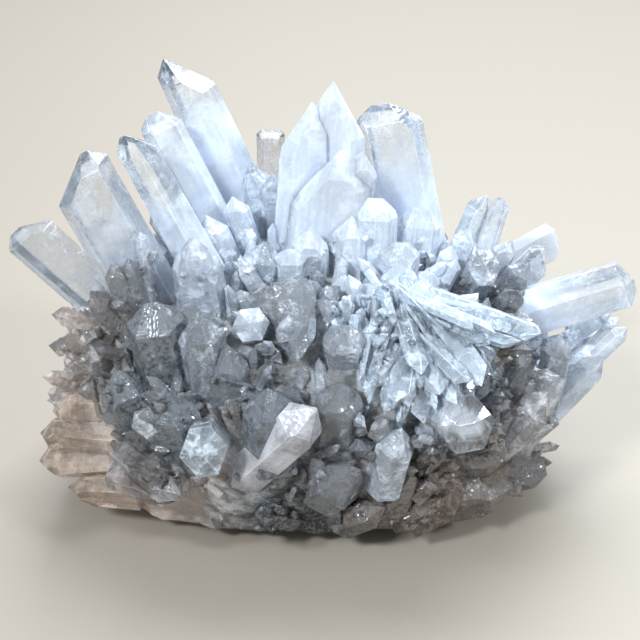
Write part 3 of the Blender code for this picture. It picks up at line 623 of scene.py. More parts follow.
def quartz(name, milk, smoke, cloud, solidity, roughness, glow=0.0, density=0.0,
           extra_milk=0.0, wisp_scale=180.0, relief=0.12, clean=CLEAN, glitter=0.56):
    """Quartz that is clear, milky, dark or warm by the colour attribute of its mesh.

    milk and smoke are the colours of the milky and of the dark parts, cloud is how much the
    ragged veils add, solidity how much light the milk stops, roughness that of the clean
    faces, glow the light that scatters under the skin, density the absorption inside,
    extra_milk a milky share that is added everywhere, wisp_scale how fine the veils are,
    relief how deep the growth lines and the broken patches are, clean the colour of the
    clear parts, and glitter the noise value above which the surface is broken.
    """
    material, tree, place, shares = new_finish(name)
    shader = tree.nodes["Principled BSDF"]
    warm = shares[2]
    wisps = noise_of(tree, place["Object"], wisp_scale, 4.0, 0.62, 0.5)
    milky = veiled(tree, place, wisps, shares[0], wisp_scale, cloud, extra_milk)
    grains = noise_of(tree, place["Object"], GRAIN_SCALE, 2.0, 0.65)
    grains = ramp(tree, grains, 0.3, 0.7, 0.75, 1.3)
    darkness = maths(tree, "MULTIPLY", shares[1], grains, clamp=True)

    base = mix_colour(tree, milky, clean, milk)
    base = mix_colour(tree, warm, base, WARM_QUARTZ)
    # Where the warm share is near one: rust colour on the stains, and a painted gold glint at one of
    # them
    base = mix_colour(tree, ramp(tree, warm, 0.82, 0.95), base, RUST_AND_GLINT)
    shade = mix_colour(tree, warm, smoke, WARM_SMOKE)
    base = mix_colour(tree, darkness, base, shade)
    tree.links.new(base, shader.inputs["Base Color"])

    solid = maths(tree, "MULTIPLY", milky, solidity)
    solid = maths(tree, "MAXIMUM", solid, maths(tree, "MULTIPLY", darkness, SMOKE_SOLIDITY))
    clear = maths(tree, "SUBTRACT", 1.0, solid, clamp=True)
    tree.links.new(clear, shader.inputs["Transmission Weight"])
    rough = ramp(tree, wisps, 0.4, 0.7, roughness, 4.0 * roughness + 0.06)
    rough = maths(tree, "ADD", rough, maths(tree, "MULTIPLY", darkness, 0.2), clamp=True)
    tree.links.new(rough, shader.inputs["Roughness"])
    shader.inputs["IOR"].default_value = QUARTZ_IOR
    if glow:
        shader.inputs["Subsurface Weight"].default_value = glow
        shader.inputs["Subsurface Radius"].default_value = (1.0, 1.05, 1.15)
        shader.inputs["Subsurface Scale"].default_value = GLOW_REACH
    if density:
        inside = tree.nodes.new("ShaderNodeVolumeAbsorption")
        inside.inputs["Color"].default_value = INSIDE_COLOUR
        inside.inputs["Density"].default_value = density
        tree.links.new(inside.outputs[0], tree.nodes["Material Output"].inputs["Volume"])
    raise_growth(tree, place, wisps, glitter, relief)
    return material


# %% The four finishes of the quartz
clear_finish = quartz("clear_to_milky_quartz", milk=(0.73, 0.80, 0.94), smoke=SMOKE,
                      cloud=0.22, solidity=0.88, roughness=0.02, glow=0.5, density=10.0)
crust_finish = quartz("frosted_crust_quartz", milk=(0.80, 0.88, 0.99),
                      smoke=(0.065, 0.073, 0.080), cloud=0.35, solidity=0.75, roughness=0.012,
                      wisp_scale=330.0, relief=0.35, clean=CLEAN_BLUE, glitter=0.52)
spray_finish = quartz("bright_spray_quartz", milk=(0.78, 0.89, 1.00), smoke=SMOKE,
                      cloud=0.3, solidity=0.78, roughness=0.015, wisp_scale=420.0,
                      relief=0.5, clean=(0.86, 0.94, 1.0), glitter=0.52)
# Paler, milkier finish for the bevelled edges: a painted highlight that makes every edge a bright line
edge_highlight_finish = quartz("worn_quartz_edges", milk=(0.88, 0.93, 1.0), smoke=(0.30, 0.32, 0.33),
                     cloud=0.4, solidity=0.8, roughness=0.05, extra_milk=0.3)
print("quartz finishes made")


# %% The rock finish
ROCK_GRAIN_SCALE, SPECK_SCALE, PATCH_SCALE, RUST_SCALE = 520.0, 1500.0, 110.0, 230.0
PALE_ROCK = ((0.34, 0.35, 0.36), (0.60, 0.62, 0.64))
WARM_ROCK = ((0.38, 0.29, 0.24), (0.66, 0.54, 0.46))
CHLORITE = ((0.020, 0.022, 0.020), (0.13, 0.135, 0.125))
RUST_SPOT = (0.42, 0.19, 0.05)
ROCK_RELIEF = 0.0006


def rock(name):
    """Grainy rock between the crystals: dark chlorite with pale quartz grains.

    The grains choose between the two pale colours, the patches between the two warm ones
    and the specks between the two dark ones. The mesh's dark share and the patches say
    where it is dark.
    """
    material, tree, place, shares = new_finish(name)
    shader = tree.nodes["Principled BSDF"]
    grains = noise_of(tree, place["Object"], ROCK_GRAIN_SCALE, 6.0, 0.75)
    specks = noise_of(tree, place["Object"], SPECK_SCALE, 4.0, 0.7)
    patches = noise_of(tree, place["Object"], PATCH_SCALE, 4.0, 0.6)
    rust = noise_of(tree, place["Object"], RUST_SCALE, 3.0, 0.6)
    pale = mix_colour(tree, ramp(tree, grains, 0.35, 0.65), *PALE_ROCK)
    warm = mix_colour(tree, ramp(tree, patches, 0.35, 0.65), *WARM_ROCK)
    deep = mix_colour(tree, ramp(tree, specks, 0.4, 0.7), *CHLORITE)
    pale = mix_colour(tree, maths(tree, "MULTIPLY", shares[2], 1.5, clamp=True), pale, warm)
    dark = ramp(tree, patches, 0.42, 0.62, -0.15, 0.35)
    base = mix_colour(tree, maths(tree, "ADD", shares[1], dark, clamp=True), pale, deep)
    base = mix_colour(tree, ramp(tree, rust, 0.68, 0.74), base, RUST_SPOT)
    tree.links.new(base, shader.inputs["Base Color"])
    tree.links.new(ramp(tree, specks, 0.3, 0.7, 0.85, 0.32), shader.inputs["Roughness"])
    raise_surface(tree, maths(tree, "ADD", grains, specks), 0.7, ROCK_RELIEF)
    return material


rock_finish = rock("chlorite_rock")
print("rock finish made")

# %% [markdown]
# ## From arrays to meshes
# Every piece is worked out as numpy arrays of points and faces in millimetres. One helper
# turns them into a mesh in metres, stores the colour shares, welds the points that fall on
# each other and hands the piece to the frame.

# %% Make a piece
WELD = 0.000002


def make_piece(name, points, faces, looks, finish, around=None, replaced=None, edge=0.0):
    """Add a piece from points in mm, faces and the milky, dark and warm shares.

    around is each point's way around the crystal and below its tip, which becomes the UV
    map. edge is the width in mm of the edges, whose paler finish is a painted highlight.
    """
    mesh = bpy.data.meshes.new(name)
    mesh.from_pydata((points * MM).tolist(), [], faces)
    shares = mesh.attributes.new("looks", "FLOAT_COLOR", "POINT")
    colour = np.concatenate([np.clip(looks, 0.0, 1.0), np.ones((len(points), 1))], axis=1)
    shares.data.foreach_set("color", colour.astype(np.float32).ravel())
    if around is not None:
        corner = np.empty(len(mesh.loops), dtype=np.int64)
        mesh.loops.foreach_get("vertex_index", corner)
        layer = mesh.uv_layers.new(name="prism")
        layer.uv.foreach_set("vector", (around * MM)[corner].astype(np.float32).ravel())
    bm = bmesh.new()
    bm.from_mesh(mesh)
    bmesh.ops.remove_doubles(bm, verts=bm.verts, dist=WELD)
    bmesh.ops.dissolve_degenerate(bm, edges=bm.edges, dist=WELD)
    bm.to_mesh(mesh)
    bm.free()
    mesh.materials.append(finish)
    piece = bpy.data.objects.new(name, mesh)
    bpy.context.scene.collection.objects.link(piece)
    # The bevel carries the paler edge finish, a painted highlight along the edges
    if edge:
        bevel = piece.modifiers.new("worn_edges", "BEVEL")
        bevel.width = edge * MM
        bevel.segments = 1
        bevel.material = 1
        mesh.materials.append(edge_highlight_finish)
    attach(piece, "root")
    if replaced:
        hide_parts(replaced)
    print(name, len(mesh.vertices), "points,", len(mesh.polygons), "faces")


def grid_faces(rows, columns, start=0):
    """Quads of a grid that closes on itself across its columns."""
    row, column = np.meshgrid(np.arange(rows - 1), np.arange(columns), indexing="ij")
    after = (column + 1) % columns
    quads = np.stack([row * columns + column, (row + 1) * columns + column,
                      (row + 1) * columns + after, row * columns + after], axis=-1)
    return (quads.reshape(-1, 4) + start).tolist()


# %% [markdown]
# ## One crystal as a grid
# A crystal is a grid of two parameters: the angle around its axis and the place between tip
# and root. For each angle, the nearest wall gives the radius and the steepest tip plane
# gives the slope. The columns sit exactly on the edges of the prism and of the tip, so every
# face is flat and every edge is sharp.

# %% The crystal grid
RHOMB_SLOPE = math.tan(math.radians(51.8))
LESS_STEEP, MORE_STEEP = 0.94, 1.1
FACE_CHANCE = 0.08
LEAST_FLAT = 0.12
SIDES = np.radians(60.0 * np.arange(6) - 90.0)
COLUMNS = 16


def crystal_grid(crystal, wall_rows=1):
    """Grid of a crystal's points, and each point's way around and below the tip, in mm.

    Radius at an angle = the least of side distance / cos(angle - side), slope = the most of
    side slope x cos(angle - side). The shoulder is where the slope meets the wall, and the
    wall widens downward with the taper. The columns are the six corners of the prism, the
    six ridges of the tip and the four ends of the chisel's wedge.
    """
    draw = random.Random(crystal.name)
    wedge = crystal.width * crystal.chisel
    width = crystal.width - wedge
    shift = crystal.tip_shift * width / 2.0
    flats, slopes = np.zeros(6), np.zeros(6)
    for side in range(6):
        flat = crystal.depth / 2.0 if side % 3 == 0 else width / 2.0 * math.cos(math.pi / 6.0)
        flats[side] = flat * (1.0 + FACE_CHANCE * draw.uniform(-1.0, 1.0))
        slope = RHOMB_SLOPE * crystal.steep * (LESS_STEEP if side % 2 == 0 else MORE_STEEP)
        slopes[side] = slope * (1.0 + FACE_CHANCE * draw.uniform(-1.0, 1.0))
    flats = np.maximum(flats - shift * np.cos(SIDES), LEAST_FLAT * crystal.depth)

    after = np.roll(SIDES, -1)
    next_flat, next_slope = np.roll(flats, -1), np.roll(slopes, -1)
    corner = np.arctan2(flats * np.cos(after) - next_flat * np.cos(SIDES),
                        next_flat * np.sin(SIDES) - flats * np.sin(after))
    ridge = np.arctan2(slopes * np.cos(SIDES) - next_slope * np.cos(after),
                       next_slope * np.sin(after) - slopes * np.sin(SIDES))
    angle = np.concatenate([corner, ridge])
    middle = np.tile(SIDES + math.pi / 6.0, 2)
    angle = angle + math.pi * np.round((middle - angle) / math.pi)
    side_step = np.sign(np.cos(angle))
    doubled = np.array([SIDES[0], SIDES[0], SIDES[3], SIDES[3]])
    angle = np.concatenate([angle, doubled])
    side_step = np.concatenate([side_step, [-1.0, 1.0, 1.0, -1.0]])
    from_first = np.round((angle - SIDES[0] + 1e-9) % (2.0 * math.pi), 7)
    order = np.lexsort((np.arange(COLUMNS), from_first))
    angle, side_step = angle[order], side_step[order]
    first = np.flatnonzero(side_step > 0.0)[0]
    angle, side_step = np.roll(angle, -first), np.roll(side_step, -first)

    facing = np.cos(angle[:, None] - SIDES)
    radius = np.min(np.where(facing > 1e-6, flats / np.maximum(facing, 1e-6), 1e9), axis=1)
    slope = np.max(slopes * facing, axis=1)
    step = np.stack([side_step * wedge / 2.0, 0.0 * angle], axis=1)
    out = np.stack([np.cos(angle), np.sin(angle)], axis=1)
    shoulder = radius / (1.0 - crystal.taper * slope * radius)
    rows = [np.concatenate([step, 0.0 * angle[:, None]], axis=1)]
    down = -slope * shoulder
    for share in np.linspace(0.0, 1.0, wall_rows + 1):
        level = down * (1.0 - share) - crystal.length * share
        reach = radius * (1.0 - crystal.taper * level)
        reach = np.where(share == 0.0, shoulder, reach)
        rows.append(np.concatenate([out * reach[:, None] + step, level[:, None]], axis=1))
    rows.append(np.tile([[0.0, 0.0, -crystal.length]], (COLUMNS, 1)))
    grid = np.array(rows)
    below = -grid[..., 2]
    shoulder_steps = np.diff(rows[2], axis=0, prepend=rows[2][-1:])
    way = np.cumsum(np.linalg.norm(shoulder_steps, axis=1))
    around = np.stack([np.broadcast_to(way, below.shape), below], axis=-1)
    turn = math.radians(crystal.roll)
    roll = np.array([[math.cos(turn), -math.sin(turn), 0.0],
                     [math.sin(turn), math.cos(turn), 0.0], [0.0, 0.0, 1.0]])
    axes = np.array(axes_of(crystal))
    return grid @ roll.T @ axes.T + np.array(crystal.tip), around


print("rows, columns and coordinates of a crystal:", crystal_grid(CRUST[0])[0].shape)


# %% Join crystals in one mesh
def join_crystals(crystals, wall_rows, looks_of):
    """Points, faces, colour shares and ways around of several crystals in one mesh."""
    points, faces, looks, ways = [], [], [], []
    count = 0
    for crystal in crystals:
        grid, around = crystal_grid(crystal, wall_rows)
        rows, columns = grid.shape[:2]
        faces += grid_faces(rows, columns, count)
        count += rows * columns
        points.append(grid.reshape(-1, 3))
        looks.append(looks_of(crystal, grid, around[..., 1]).reshape(-1, 3))
        ways.append(around.reshape(-1, 2))
    return np.concatenate(points), faces, np.concatenate(looks), np.concatenate(ways)


# %% [markdown]
# ## The large crystals
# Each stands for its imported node. A crystal is clear at the tip and turns milky toward its
# root, so each has five numbers: the milky share at the tip, the depth in millimetres where
# the milk begins, the share at the root, and how warm and how smoky it is.

# %% How milky each large crystal is
CLARITY = {
    "crystal_tall_left": (0.12, 6.0, 0.85, 0.00, 0.00),
    "crystal_left_second": (0.40, 4.0, 0.85, 0.00, 0.00),
    "crystal_left_third": (0.12, 9.0, 0.85, 0.00, 0.00),
    "crystal_far_left_tall": (0.18, 8.0, 0.55, 0.02, 0.16),
    "crystal_far_left_low": (0.10, 10.0, 0.40, 0.05, 0.18),
    "crystal_back_small": (0.15, 8.0, 0.60, 0.25, 0.12),
    "crystals_centre_blades": (0.60, 3.0, 0.92, 0.00, 0.00),
    "crystal_right_tall": (0.20, 7.0, 0.92, 0.00, 0.00),
    "crystal_right_tall_back": (0.35, 4.0, 0.80, 0.00, 0.00),
    "crystals_back_right": (0.30, 3.0, 0.65, 0.00, 0.00),
    "crystal_right_clear": (0.20, 5.0, 0.60, 0.00, 0.00),
    "crystal_right_big": (0.30, 8.0, 0.90, 0.00, 0.00),
    "crystal_right_low_a": (0.45, 3.0, 0.70, 0.00, 0.00),
    "crystal_right_low_b": (0.45, 3.0, 0.70, 0.00, 0.00),
    "crystal_right_low_c": (0.35, 3.0, 0.70, 0.00, 0.00),
    "crystal_fan_blade": (0.45, 4.0, 0.60, 0.00, 0.00),
    "crystal_front_hexagon": (0.22, 2.0, 0.40, 0.02, 0.00),
    "crystal_front_slant": (0.42, 4.0, 0.60, 0.26, 0.00),
    "crystal_front_bright": (0.35, 3.0, 0.30, 0.00, 0.00),
    # The petals' warm share is partly iron and partly a painted warm reflection from below
    "crystals_petals": (0.25, 4.0, 0.45, 0.80, 0.00),
}
# front_clear's warm share is a painted warm reflection from below, not its own colour
OWN_CLARITY = {"front_clear": (0.05, 7.0, 0.30, 0.25, 0.00)}
TURNS_MILKY_OVER = 13.0


def looks_from_clarity(clarity):
    """A function that gives the colour shares of a large crystal along its length.

    A crystal in OWN_CLARITY differs from the others of its node.
    """
    def looks_of(crystal, grid, below):
        tip_share, begins, root_share, warm, dark = OWN_CLARITY.get(crystal.name, clarity)
        rise = smooth_step(below, begins, begins + TURNS_MILKY_OVER)
        milky = tip_share + (root_share - tip_share) * rise
        return np.stack([milky, dark + 0.0 * milky, warm + 0.0 * milky], axis=-1)
    return looks_of


# %% The large crystals
SPARKLING = ("crystal_front_bright", "crystal_fan_blade")
WALL_ROWS = 6
# Widths in mm of the bevelled edges, whose paler finish is a painted highlight
CLEAR_EDGE, SPARKLING_EDGE, WHITE_EDGE, CRUST_EDGE = 0.08, 0.03, 0.15, 0.16

for node, clarity in CLARITY.items():
    points, faces, looks, ways = join_crystals(
        LARGE[node], WALL_ROWS, looks_from_clarity(clarity))
    finish, edge = clear_finish, CLEAR_EDGE
    if node in SPARKLING:
        finish, edge = spray_finish, SPARKLING_EDGE
    make_piece("quartz_" + node.split("_", 1)[1], points, faces, looks, finish,
               ways, node, edge=edge)

# %% [markdown]
# ## The opaque white blade
# One flat crystal at the back is full of bubbles and looks like white chalk. It gets a
# quartz finish of its own, with a milky share of one that stops all the light.

# %% The white blade
points, faces, looks, ways = join_crystals(
    LARGE["crystal_white_blade"], WALL_ROWS,
    looks_from_clarity((1.0, 1.0, 1.0, 0.05, 0.10)))
white_finish = quartz("opaque_white_quartz", milk=(0.62, 0.66, 0.71), smoke=SMOKE,
                      cloud=0.1, solidity=1.0, roughness=0.12, glow=0.3)
make_piece("quartz_white_blade", points, faces, looks, white_finish, ways,
           "crystal_white_blade", edge=WHITE_EDGE)

# %% [markdown]
# ## The clear crystal on the rim
# Low at the left a clear crystal lies along the rock with its tip to the right. It grew in
# one with the rock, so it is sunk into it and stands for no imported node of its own.

# %% The rim crystal
RIM_CRYSTAL = Crystal("rim_clear", (-21.4, -32.2, 14.0), 94.3, 25.5, 6.2, 5.4, 14.5,
                      roll=10, steep=1.0, chisel=0.15)
# The rim crystal's warm share of 0.38 is a painted warm reflection from below
points, faces, looks, ways = join_crystals(
    [RIM_CRYSTAL], WALL_ROWS, looks_from_clarity((0.06, 6.0, 0.30, 0.38, 0.00)))
make_piece("quartz_rim_crystal", points, faces, looks, clear_finish, ways,
           edge=CLEAR_EDGE)

# %% [markdown]
# ## The rock core
# The rock is the mound's own formula on a fine grid, pushed out and in by lumps and grains
# from the noise. It ends in a flat foot, whose rim stays on the mound's outline because the
# noise fades out toward height zero.

# %% The core's grid
CORE_COLUMNS, CORE_ROWS = 360, 120
ROWS_CROWD_UP = 1.25
LUMP_HEIGHT, GRAIN_HEIGHT, CORE_INSET = 1.1, 0.45, 0.6
GRAIN_SIZE, SMALL_GRAIN_SIZE, SMALL_GRAIN_SHARE = 1.6, 0.8, 0.6
FOOT_RINGS, LEVEL_FOOT = (0.8, 0.5, 0.2, 0.0), 1.5


def core_grid():
    """Points of the rock: outline + outward x (lumps + grains - inset), in two sizes each.

    The first row closes the crown, and the last rows run inward over the flat foot.
    """
    azimuth = np.linspace(0.0, 2.0 * math.pi, CORE_COLUMNS, endpoint=False)
    level = MOUND_HEIGHT * (1.0 - np.linspace(0.0, 1.0, CORE_ROWS) ** ROWS_CROWD_UP)
    height, angle = np.meshgrid(level, azimuth, indexing="ij")
    skin = mound_outline(angle, height)
    lumps = value_noise(skin, LUMP_SIZE, 1)
    lumps += SMALL_LUMP_SHARE * value_noise(skin, SMALL_LUMP_SIZE, 2)
    grains = value_noise(skin, GRAIN_SIZE, 3)
    grains += SMALL_GRAIN_SHARE * value_noise(skin, SMALL_GRAIN_SIZE, 4)
    fade = smooth_step(height, 0.0, LEVEL_FOOT)
    push = fade * (LUMP_HEIGHT * lumps + GRAIN_HEIGHT * grains - CORE_INSET)
    away = np.stack([np.cos(angle), np.sin(angle), 0.0 * angle], axis=-1)
    skin = skin + away * push[..., None]
    foot = skin[-1:] * np.array([1.0, 1.0, 0.0])
    inner = [foot * np.array([share, share, 1.0]) for share in FOOT_RINGS]
    crown = np.broadcast_to([[[MOUND_SHIFT_X, 0.0, MOUND_HEIGHT]]], (1, CORE_COLUMNS, 3))
    return np.concatenate([crown, skin] + inner, axis=0)


core = core_grid()
core_points = core.reshape(-1, 3)
make_piece("rock_core", core_points, grid_faces(*core.shape[:2]), zone_looks(core_points),
           rock_finish, None, "matrix")


# %% [markdown]
# ## The crust
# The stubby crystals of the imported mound, in one mesh. Each takes the colours of the zone
# where its tip is, or shares of its own where the real one stands out, with a little chance.

# %% The crust crystals
# Milky, dark and warm shares of the crystals that stand out
OWN_SHARES = {
    "hexagon_high": (0.60, 0.05, 0.00),
    "hexagon_low": (0.42, 0.22, 0.00),
    "block_a": (0.95, 0.00, 0.00),
    "block_b": (0.95, 0.00, 0.00),
    "block_c": (0.95, 0.00, 0.00),
    "block_d": (0.90, 0.02, 0.00),
    "right_b": (0.80, 0.00, 0.00),
    "right_low_d": (0.75, 0.00, 0.00),
    "right_low_e": (0.70, 0.00, 0.02),
    "right_low_f": (0.80, 0.00, 0.00),
    "left_facet": (0.18, 0.60, 0.05),
    "front_blue": (0.20, 0.62, 0.00),
    "dark_low_a": (0.12, 0.75, 0.08),
    "dark_low_b": (0.15, 0.70, 0.05),
    "fan_b": (0.25, 0.50, 0.00),
    "right_lump": (0.30, 0.28, 0.35),
    "front_round": (0.70, 0.02, 0.05),
    "disc": (0.62, 0.04, 0.00),
    "small_disc": (0.75, 0.05, 0.00),
    "fan_c": (0.60, 0.00, 0.00),
    "fan_d": (0.60, 0.00, 0.00),
    "fan_e": (0.55, 0.00, 0.00),
    "fan_g": (0.55, 0.00, 0.00),
}
SHARE_CHANCES = ((-0.18, 0.18), (-0.14, 0.14), (-0.05, 0.08))
DEEPER_SHARES, CHANGES_OVER = np.array([0.12, 0.12, 0.0]), 9.0


def looks_by_zone(crystal, grid, below):
    """Colour shares of a crust crystal: the zone's or its own, a chance, and the depth's."""
    draw = random.Random(crystal.name + " colour")
    shares = OWN_SHARES.get(crystal.name, zone_looks(np.array(crystal.tip)))
    own = np.array([draw.uniform(*between) for between in SHARE_CHANCES])
    deeper = smooth_step(below, 0.0, CHANGES_OVER)[..., None] * DEEPER_SHARES
    return shares + own + deeper + 0.0 * grid


points, faces, looks, ways = join_crystals(CRUST + RULED, 1, looks_by_zone)
make_piece("crust_crystals", points, faces, looks, crust_finish, ways,
           edge=CRUST_EDGE)

# %% [markdown]
# ## Hundreds of small crystals
# Between the stubby crystals the rock bristles with points a few millimetres long. They are
# too many to place one by one. All of them are one array: a six-sided prism and a tip whose
# place and shoulder heights vary from crystal to crystal. The tip's faces are triangles and
# the walls widen only a little toward the root, so they are as good as flat.

# %% Small crystals from arrays
SMALL_POINTS = 14
ROOT_SWELL = 1.08
ANGLE_CHANCE, TIP_CHANCE = 0.12, 0.22
RADIUS_BETWEEN, DROP_BETWEEN = (0.85, 1.1), (0.35, 0.85)
SHARE_STRAY = np.array([1.0, 0.8, 0.3])


def unit(vectors):
    """Rows of vectors, each made one long."""
    return vectors / np.linalg.norm(vectors, axis=-1, keepdims=True)


def small_crystals(roots, directions, widths, lengths, draw, flatness=(0.6, 1.0), sink=2.5):
    """Points and faces of many six-sided crystals, as arrays.

    Point = root + across x radius x cos + back x radius x sin + up x level, with levels for
    the sunk root, the uneven shoulder and the tip. Each has a tip point, six shoulder
    points, six root points and a foot point.
    """
    count = len(roots)
    up = unit(directions)
    helper = np.where(np.abs(up[:, 1:2]) > 0.9, [[1.0, 0.0, 0.0]], [[0.0, 1.0, 0.0]])
    across = unit(np.cross(helper, up))
    back = np.cross(up, across)
    turn = draw.uniform(0.0, math.pi, count)
    angle = turn[:, None] + np.radians(60.0 * np.arange(6))
    angle = angle + draw.uniform(-ANGLE_CHANCE, ANGLE_CHANCE, (count, 6))
    flat = draw.uniform(*flatness, count)
    half = widths[:, None] / 2.0 * draw.uniform(*RADIUS_BETWEEN, (count, 6))
    cos_turn, sin_turn = np.cos(turn)[:, None], np.sin(turn)[:, None]
    wide, thin = half * np.cos(angle), half * flat[:, None] * np.sin(angle)
    along_across = wide * cos_turn + thin * sin_turn
    along_back = thin * cos_turn - wide * sin_turn
    drop = widths[:, None] * draw.uniform(*DROP_BETWEEN, (count, 6))
    ring = across[:, None] * along_across[..., None] + back[:, None] * along_back[..., None]
    root = roots[:, None] + ring * ROOT_SWELL - up[:, None] * sink
    shoulder = roots[:, None] + ring + up[:, None] * (lengths[:, None] - drop)[..., None]
    off = draw.uniform(-TIP_CHANCE, TIP_CHANCE, (count, 2)) * widths[:, None]
    tip = roots + up * lengths[:, None] + across * off[:, :1] + back * off[:, 1:]
    foot = roots - up * sink
    points = np.concatenate([tip[:, None], shoulder, root, foot[:, None]], axis=1)
    ring_index = np.arange(6)
    after = (ring_index + 1) % 6
    start = SMALL_POINTS * np.arange(count)[:, None]
    tips = np.stack([0 * ring_index, 1 + ring_index, 1 + after], axis=-1)
    walls = np.stack([1 + ring_index, 7 + ring_index, 7 + after, 1 + after], axis=-1)
    feet = np.stack([7 + ring_index, 13 + 0 * ring_index, 7 + after], axis=-1)
    faces = (tips[None] + start[..., None]).reshape(-1, 3).tolist()
    faces += (walls[None] + start[..., None]).reshape(-1, 4).tolist()
    faces += (feet[None] + start[..., None]).reshape(-1, 3).tolist()
    return points.reshape(-1, 3), faces


def small_looks(roots, zones, chance, spread):
    """Colour shares of small crystals: the zones' at the roots and a chance, for all points."""
    stray = chance.normal(0.0, spread, roots.shape) * SHARE_STRAY
    return np.repeat(zone_looks(roots, zones) + stray, SMALL_POINTS, axis=0)


def make_small(name, points, faces, looks, finish, edge=0.0):
    """Add a piece of small crystals, whose UV map is empty: they have no growth lines."""
    no_ways = np.zeros((len(points), 2))
    make_piece(name, points, faces, looks, finish, no_ways, edge=edge)


# %% Places spread over the mound
LEVELS = 60
FIRST_AZIMUTH = 0.4
ROOM_BY_WIDTH = 0.2


def spread_points(count, lowest, highest):
    """Points of the smooth mound by the golden angle, evenly by area."""
    shares = (np.arange(count) + 0.5) / count
    levels = np.linspace(lowest, highest, LEVELS)
    scale = np.interp(levels, MOUND_RINGS[:, 0], MOUND_RINGS[:, 1])
    slant = np.hypot(np.diff(levels), np.diff(scale) * MOUND_HALF_DEPTH)
    area = np.concatenate([[0.0], np.cumsum(slant * (scale[1:] + scale[:-1]))])
    height = np.interp(shares * area[-1], area, levels)
    azimuth = np.arange(count) * GOLDEN_ANGLE + FIRST_AZIMUTH
    return mound_outline(azimuth, height)


def clear_of_placed(tips, widths):
    """True for tips that stand farther from every placed crystal's axis than its half width."""
    free = np.ones(len(tips), dtype=bool)
    for crystal in large_crystals + CRUST:
        up = np.array(axes_of(crystal))[:, 2]
        apart = tips - np.array(crystal.tip)
        along = np.clip(apart @ up, -crystal.length, 0.0)
        distance = np.linalg.norm(apart - along[:, None] * up, axis=1)
        free &= distance > crystal.width / 2.0 + ROOM_BY_WIDTH * widths
    return free


# %% The small crystals of the mound
SMALL_COUNT = 2400
LOWEST_TIP = 9.0
ROOT_STRAY, SMALL_STRAY = 0.7, 0.45

chance = np.random.default_rng(11)
roots = spread_points(SMALL_COUNT, 6.0, 45.9)
roots += chance.normal(0.0, ROOT_STRAY, roots.shape)
directions = unit((roots - np.array(HEART)) * [1.0, FRONT_LEAN_SHARE, 1.0])
directions = unit(directions + SMALL_STRAY * chance.normal(0.0, 1.0, roots.shape))
crowned = smooth_step(roots[:, 2], 10.0, 44.0)
widths = chance.lognormal(0.75, 0.42, len(roots)).clip(0.9, 5.0)
lengths = widths * chance.uniform(0.3, 1.0, len(roots)) * (0.7 + crowned) + 1.5 * crowned
lengths += chance.uniform(0.0, 3.0, len(roots)) ** 2 / 3.0
tips = roots + directions * lengths[:, None]
kept = clear_of_placed(tips, widths)
kept &= tips[:, 2] > LOWEST_TIP
kept &= chance.uniform(0.0, 1.0, len(roots)) < 0.3 + 0.7 * smooth_step(roots[:, 2], 10.0, 34.0)
roots, directions, widths, lengths = roots[kept], directions[kept], widths[kept], lengths[kept]
points, faces = small_crystals(roots, directions, widths, lengths, chance, sink=3.0)
looks = small_looks(roots, np.concatenate([ZONES, STAINS_AND_GLINT]), chance, 0.12)
make_small("small_crystals", points, faces, looks, crust_finish)

# %% [markdown]
# ## Small crystals on the crystals
# The stubby crystals aren't bare: smaller ones grow on their walls, as they did on the rock.
# A place on a wall is an angle around the parent and a depth below its tip, so the arrays
# of angles and depths give all the places at once.

# %% Crystals that grow on the crust's walls
GROWN_SPAN, SEATED, NARROWS_ABOVE = 0.55, 0.92, 0.6
GROWN_LEAN, GROWN_STRAY = 0.8, 0.35


def grown_on(parents, each, seed, top=0.6):
    """Roots and directions of small crystals spread over the walls of crystals.

    Root = tip - up x depth + outward x radius, with outward = right x cos + back x sin. The
    growth begins top x width below the tip, and the radius shrinks toward the tip.
    """
    chance = np.random.default_rng(seed)
    parent = np.repeat(np.arange(len(parents)), each)
    axes = np.array([np.array(axes_of(crystal)) for crystal in parents])[parent]
    tips = np.array([crystal.tip for crystal in parents])[parent]
    size = np.array([(crystal.width, crystal.depth, crystal.length) for crystal in parents])[parent]
    angle = chance.uniform(0.0, 2.0 * math.pi, len(parent))
    depth = size[:, 0] * top
    depth = depth + chance.uniform(0.0, 1.0, len(parent)) * GROWN_SPAN * size[:, 2]
    outward = axes[:, :, 0] * np.cos(angle)[:, None] + axes[:, :, 1] * np.sin(angle)[:, None]
    radius = 0.5 * np.where(np.abs(np.cos(angle)) > 0.7, size[:, 0], size[:, 1]) * SEATED
    radius *= np.clip(depth / (NARROWS_ABOVE * size[:, 0]), 0.2, 1.0)
    roots = tips - axes[:, :, 2] * depth[:, None] + outward * radius[:, None]
    directions = axes[:, :, 2] * GROWN_LEAN + outward * GROWN_LEAN
    return roots, directions + chance.normal(0.0, GROWN_STRAY, outward.shape)


# %% The small crystals on the walls
BRISTLING = ("dark_low_a", "dark_low_b", "edge_warm", "low_right")
ON_PLACED, ON_RULED, ON_BRISTLING = 6, 11, 50
LOWEST_ROOT = 5.0
bristling = [crystal for crystal in CRUST if crystal.name in BRISTLING]
places = [grown_on(CRUST, ON_PLACED, 31), grown_on(RULED, ON_RULED, 32),
          grown_on(bristling, ON_BRISTLING, 33, top=0.15)]
roots, directions = (np.concatenate(part) for part in zip(*places))
kept = roots[:, 2] > LOWEST_ROOT
roots, directions = roots[kept], directions[kept]
chance = np.random.default_rng(34)
widths = chance.lognormal(0.5, 0.4, len(roots)).clip(0.8, 3.6)
lengths = widths * chance.uniform(0.4, 1.5, len(roots))
points, faces = small_crystals(roots, directions, widths, lengths, chance, sink=1.2)
looks = small_looks(roots, ZONES, chance, 0.14)
make_small("wall_crystals", points, faces, looks, crust_finish)

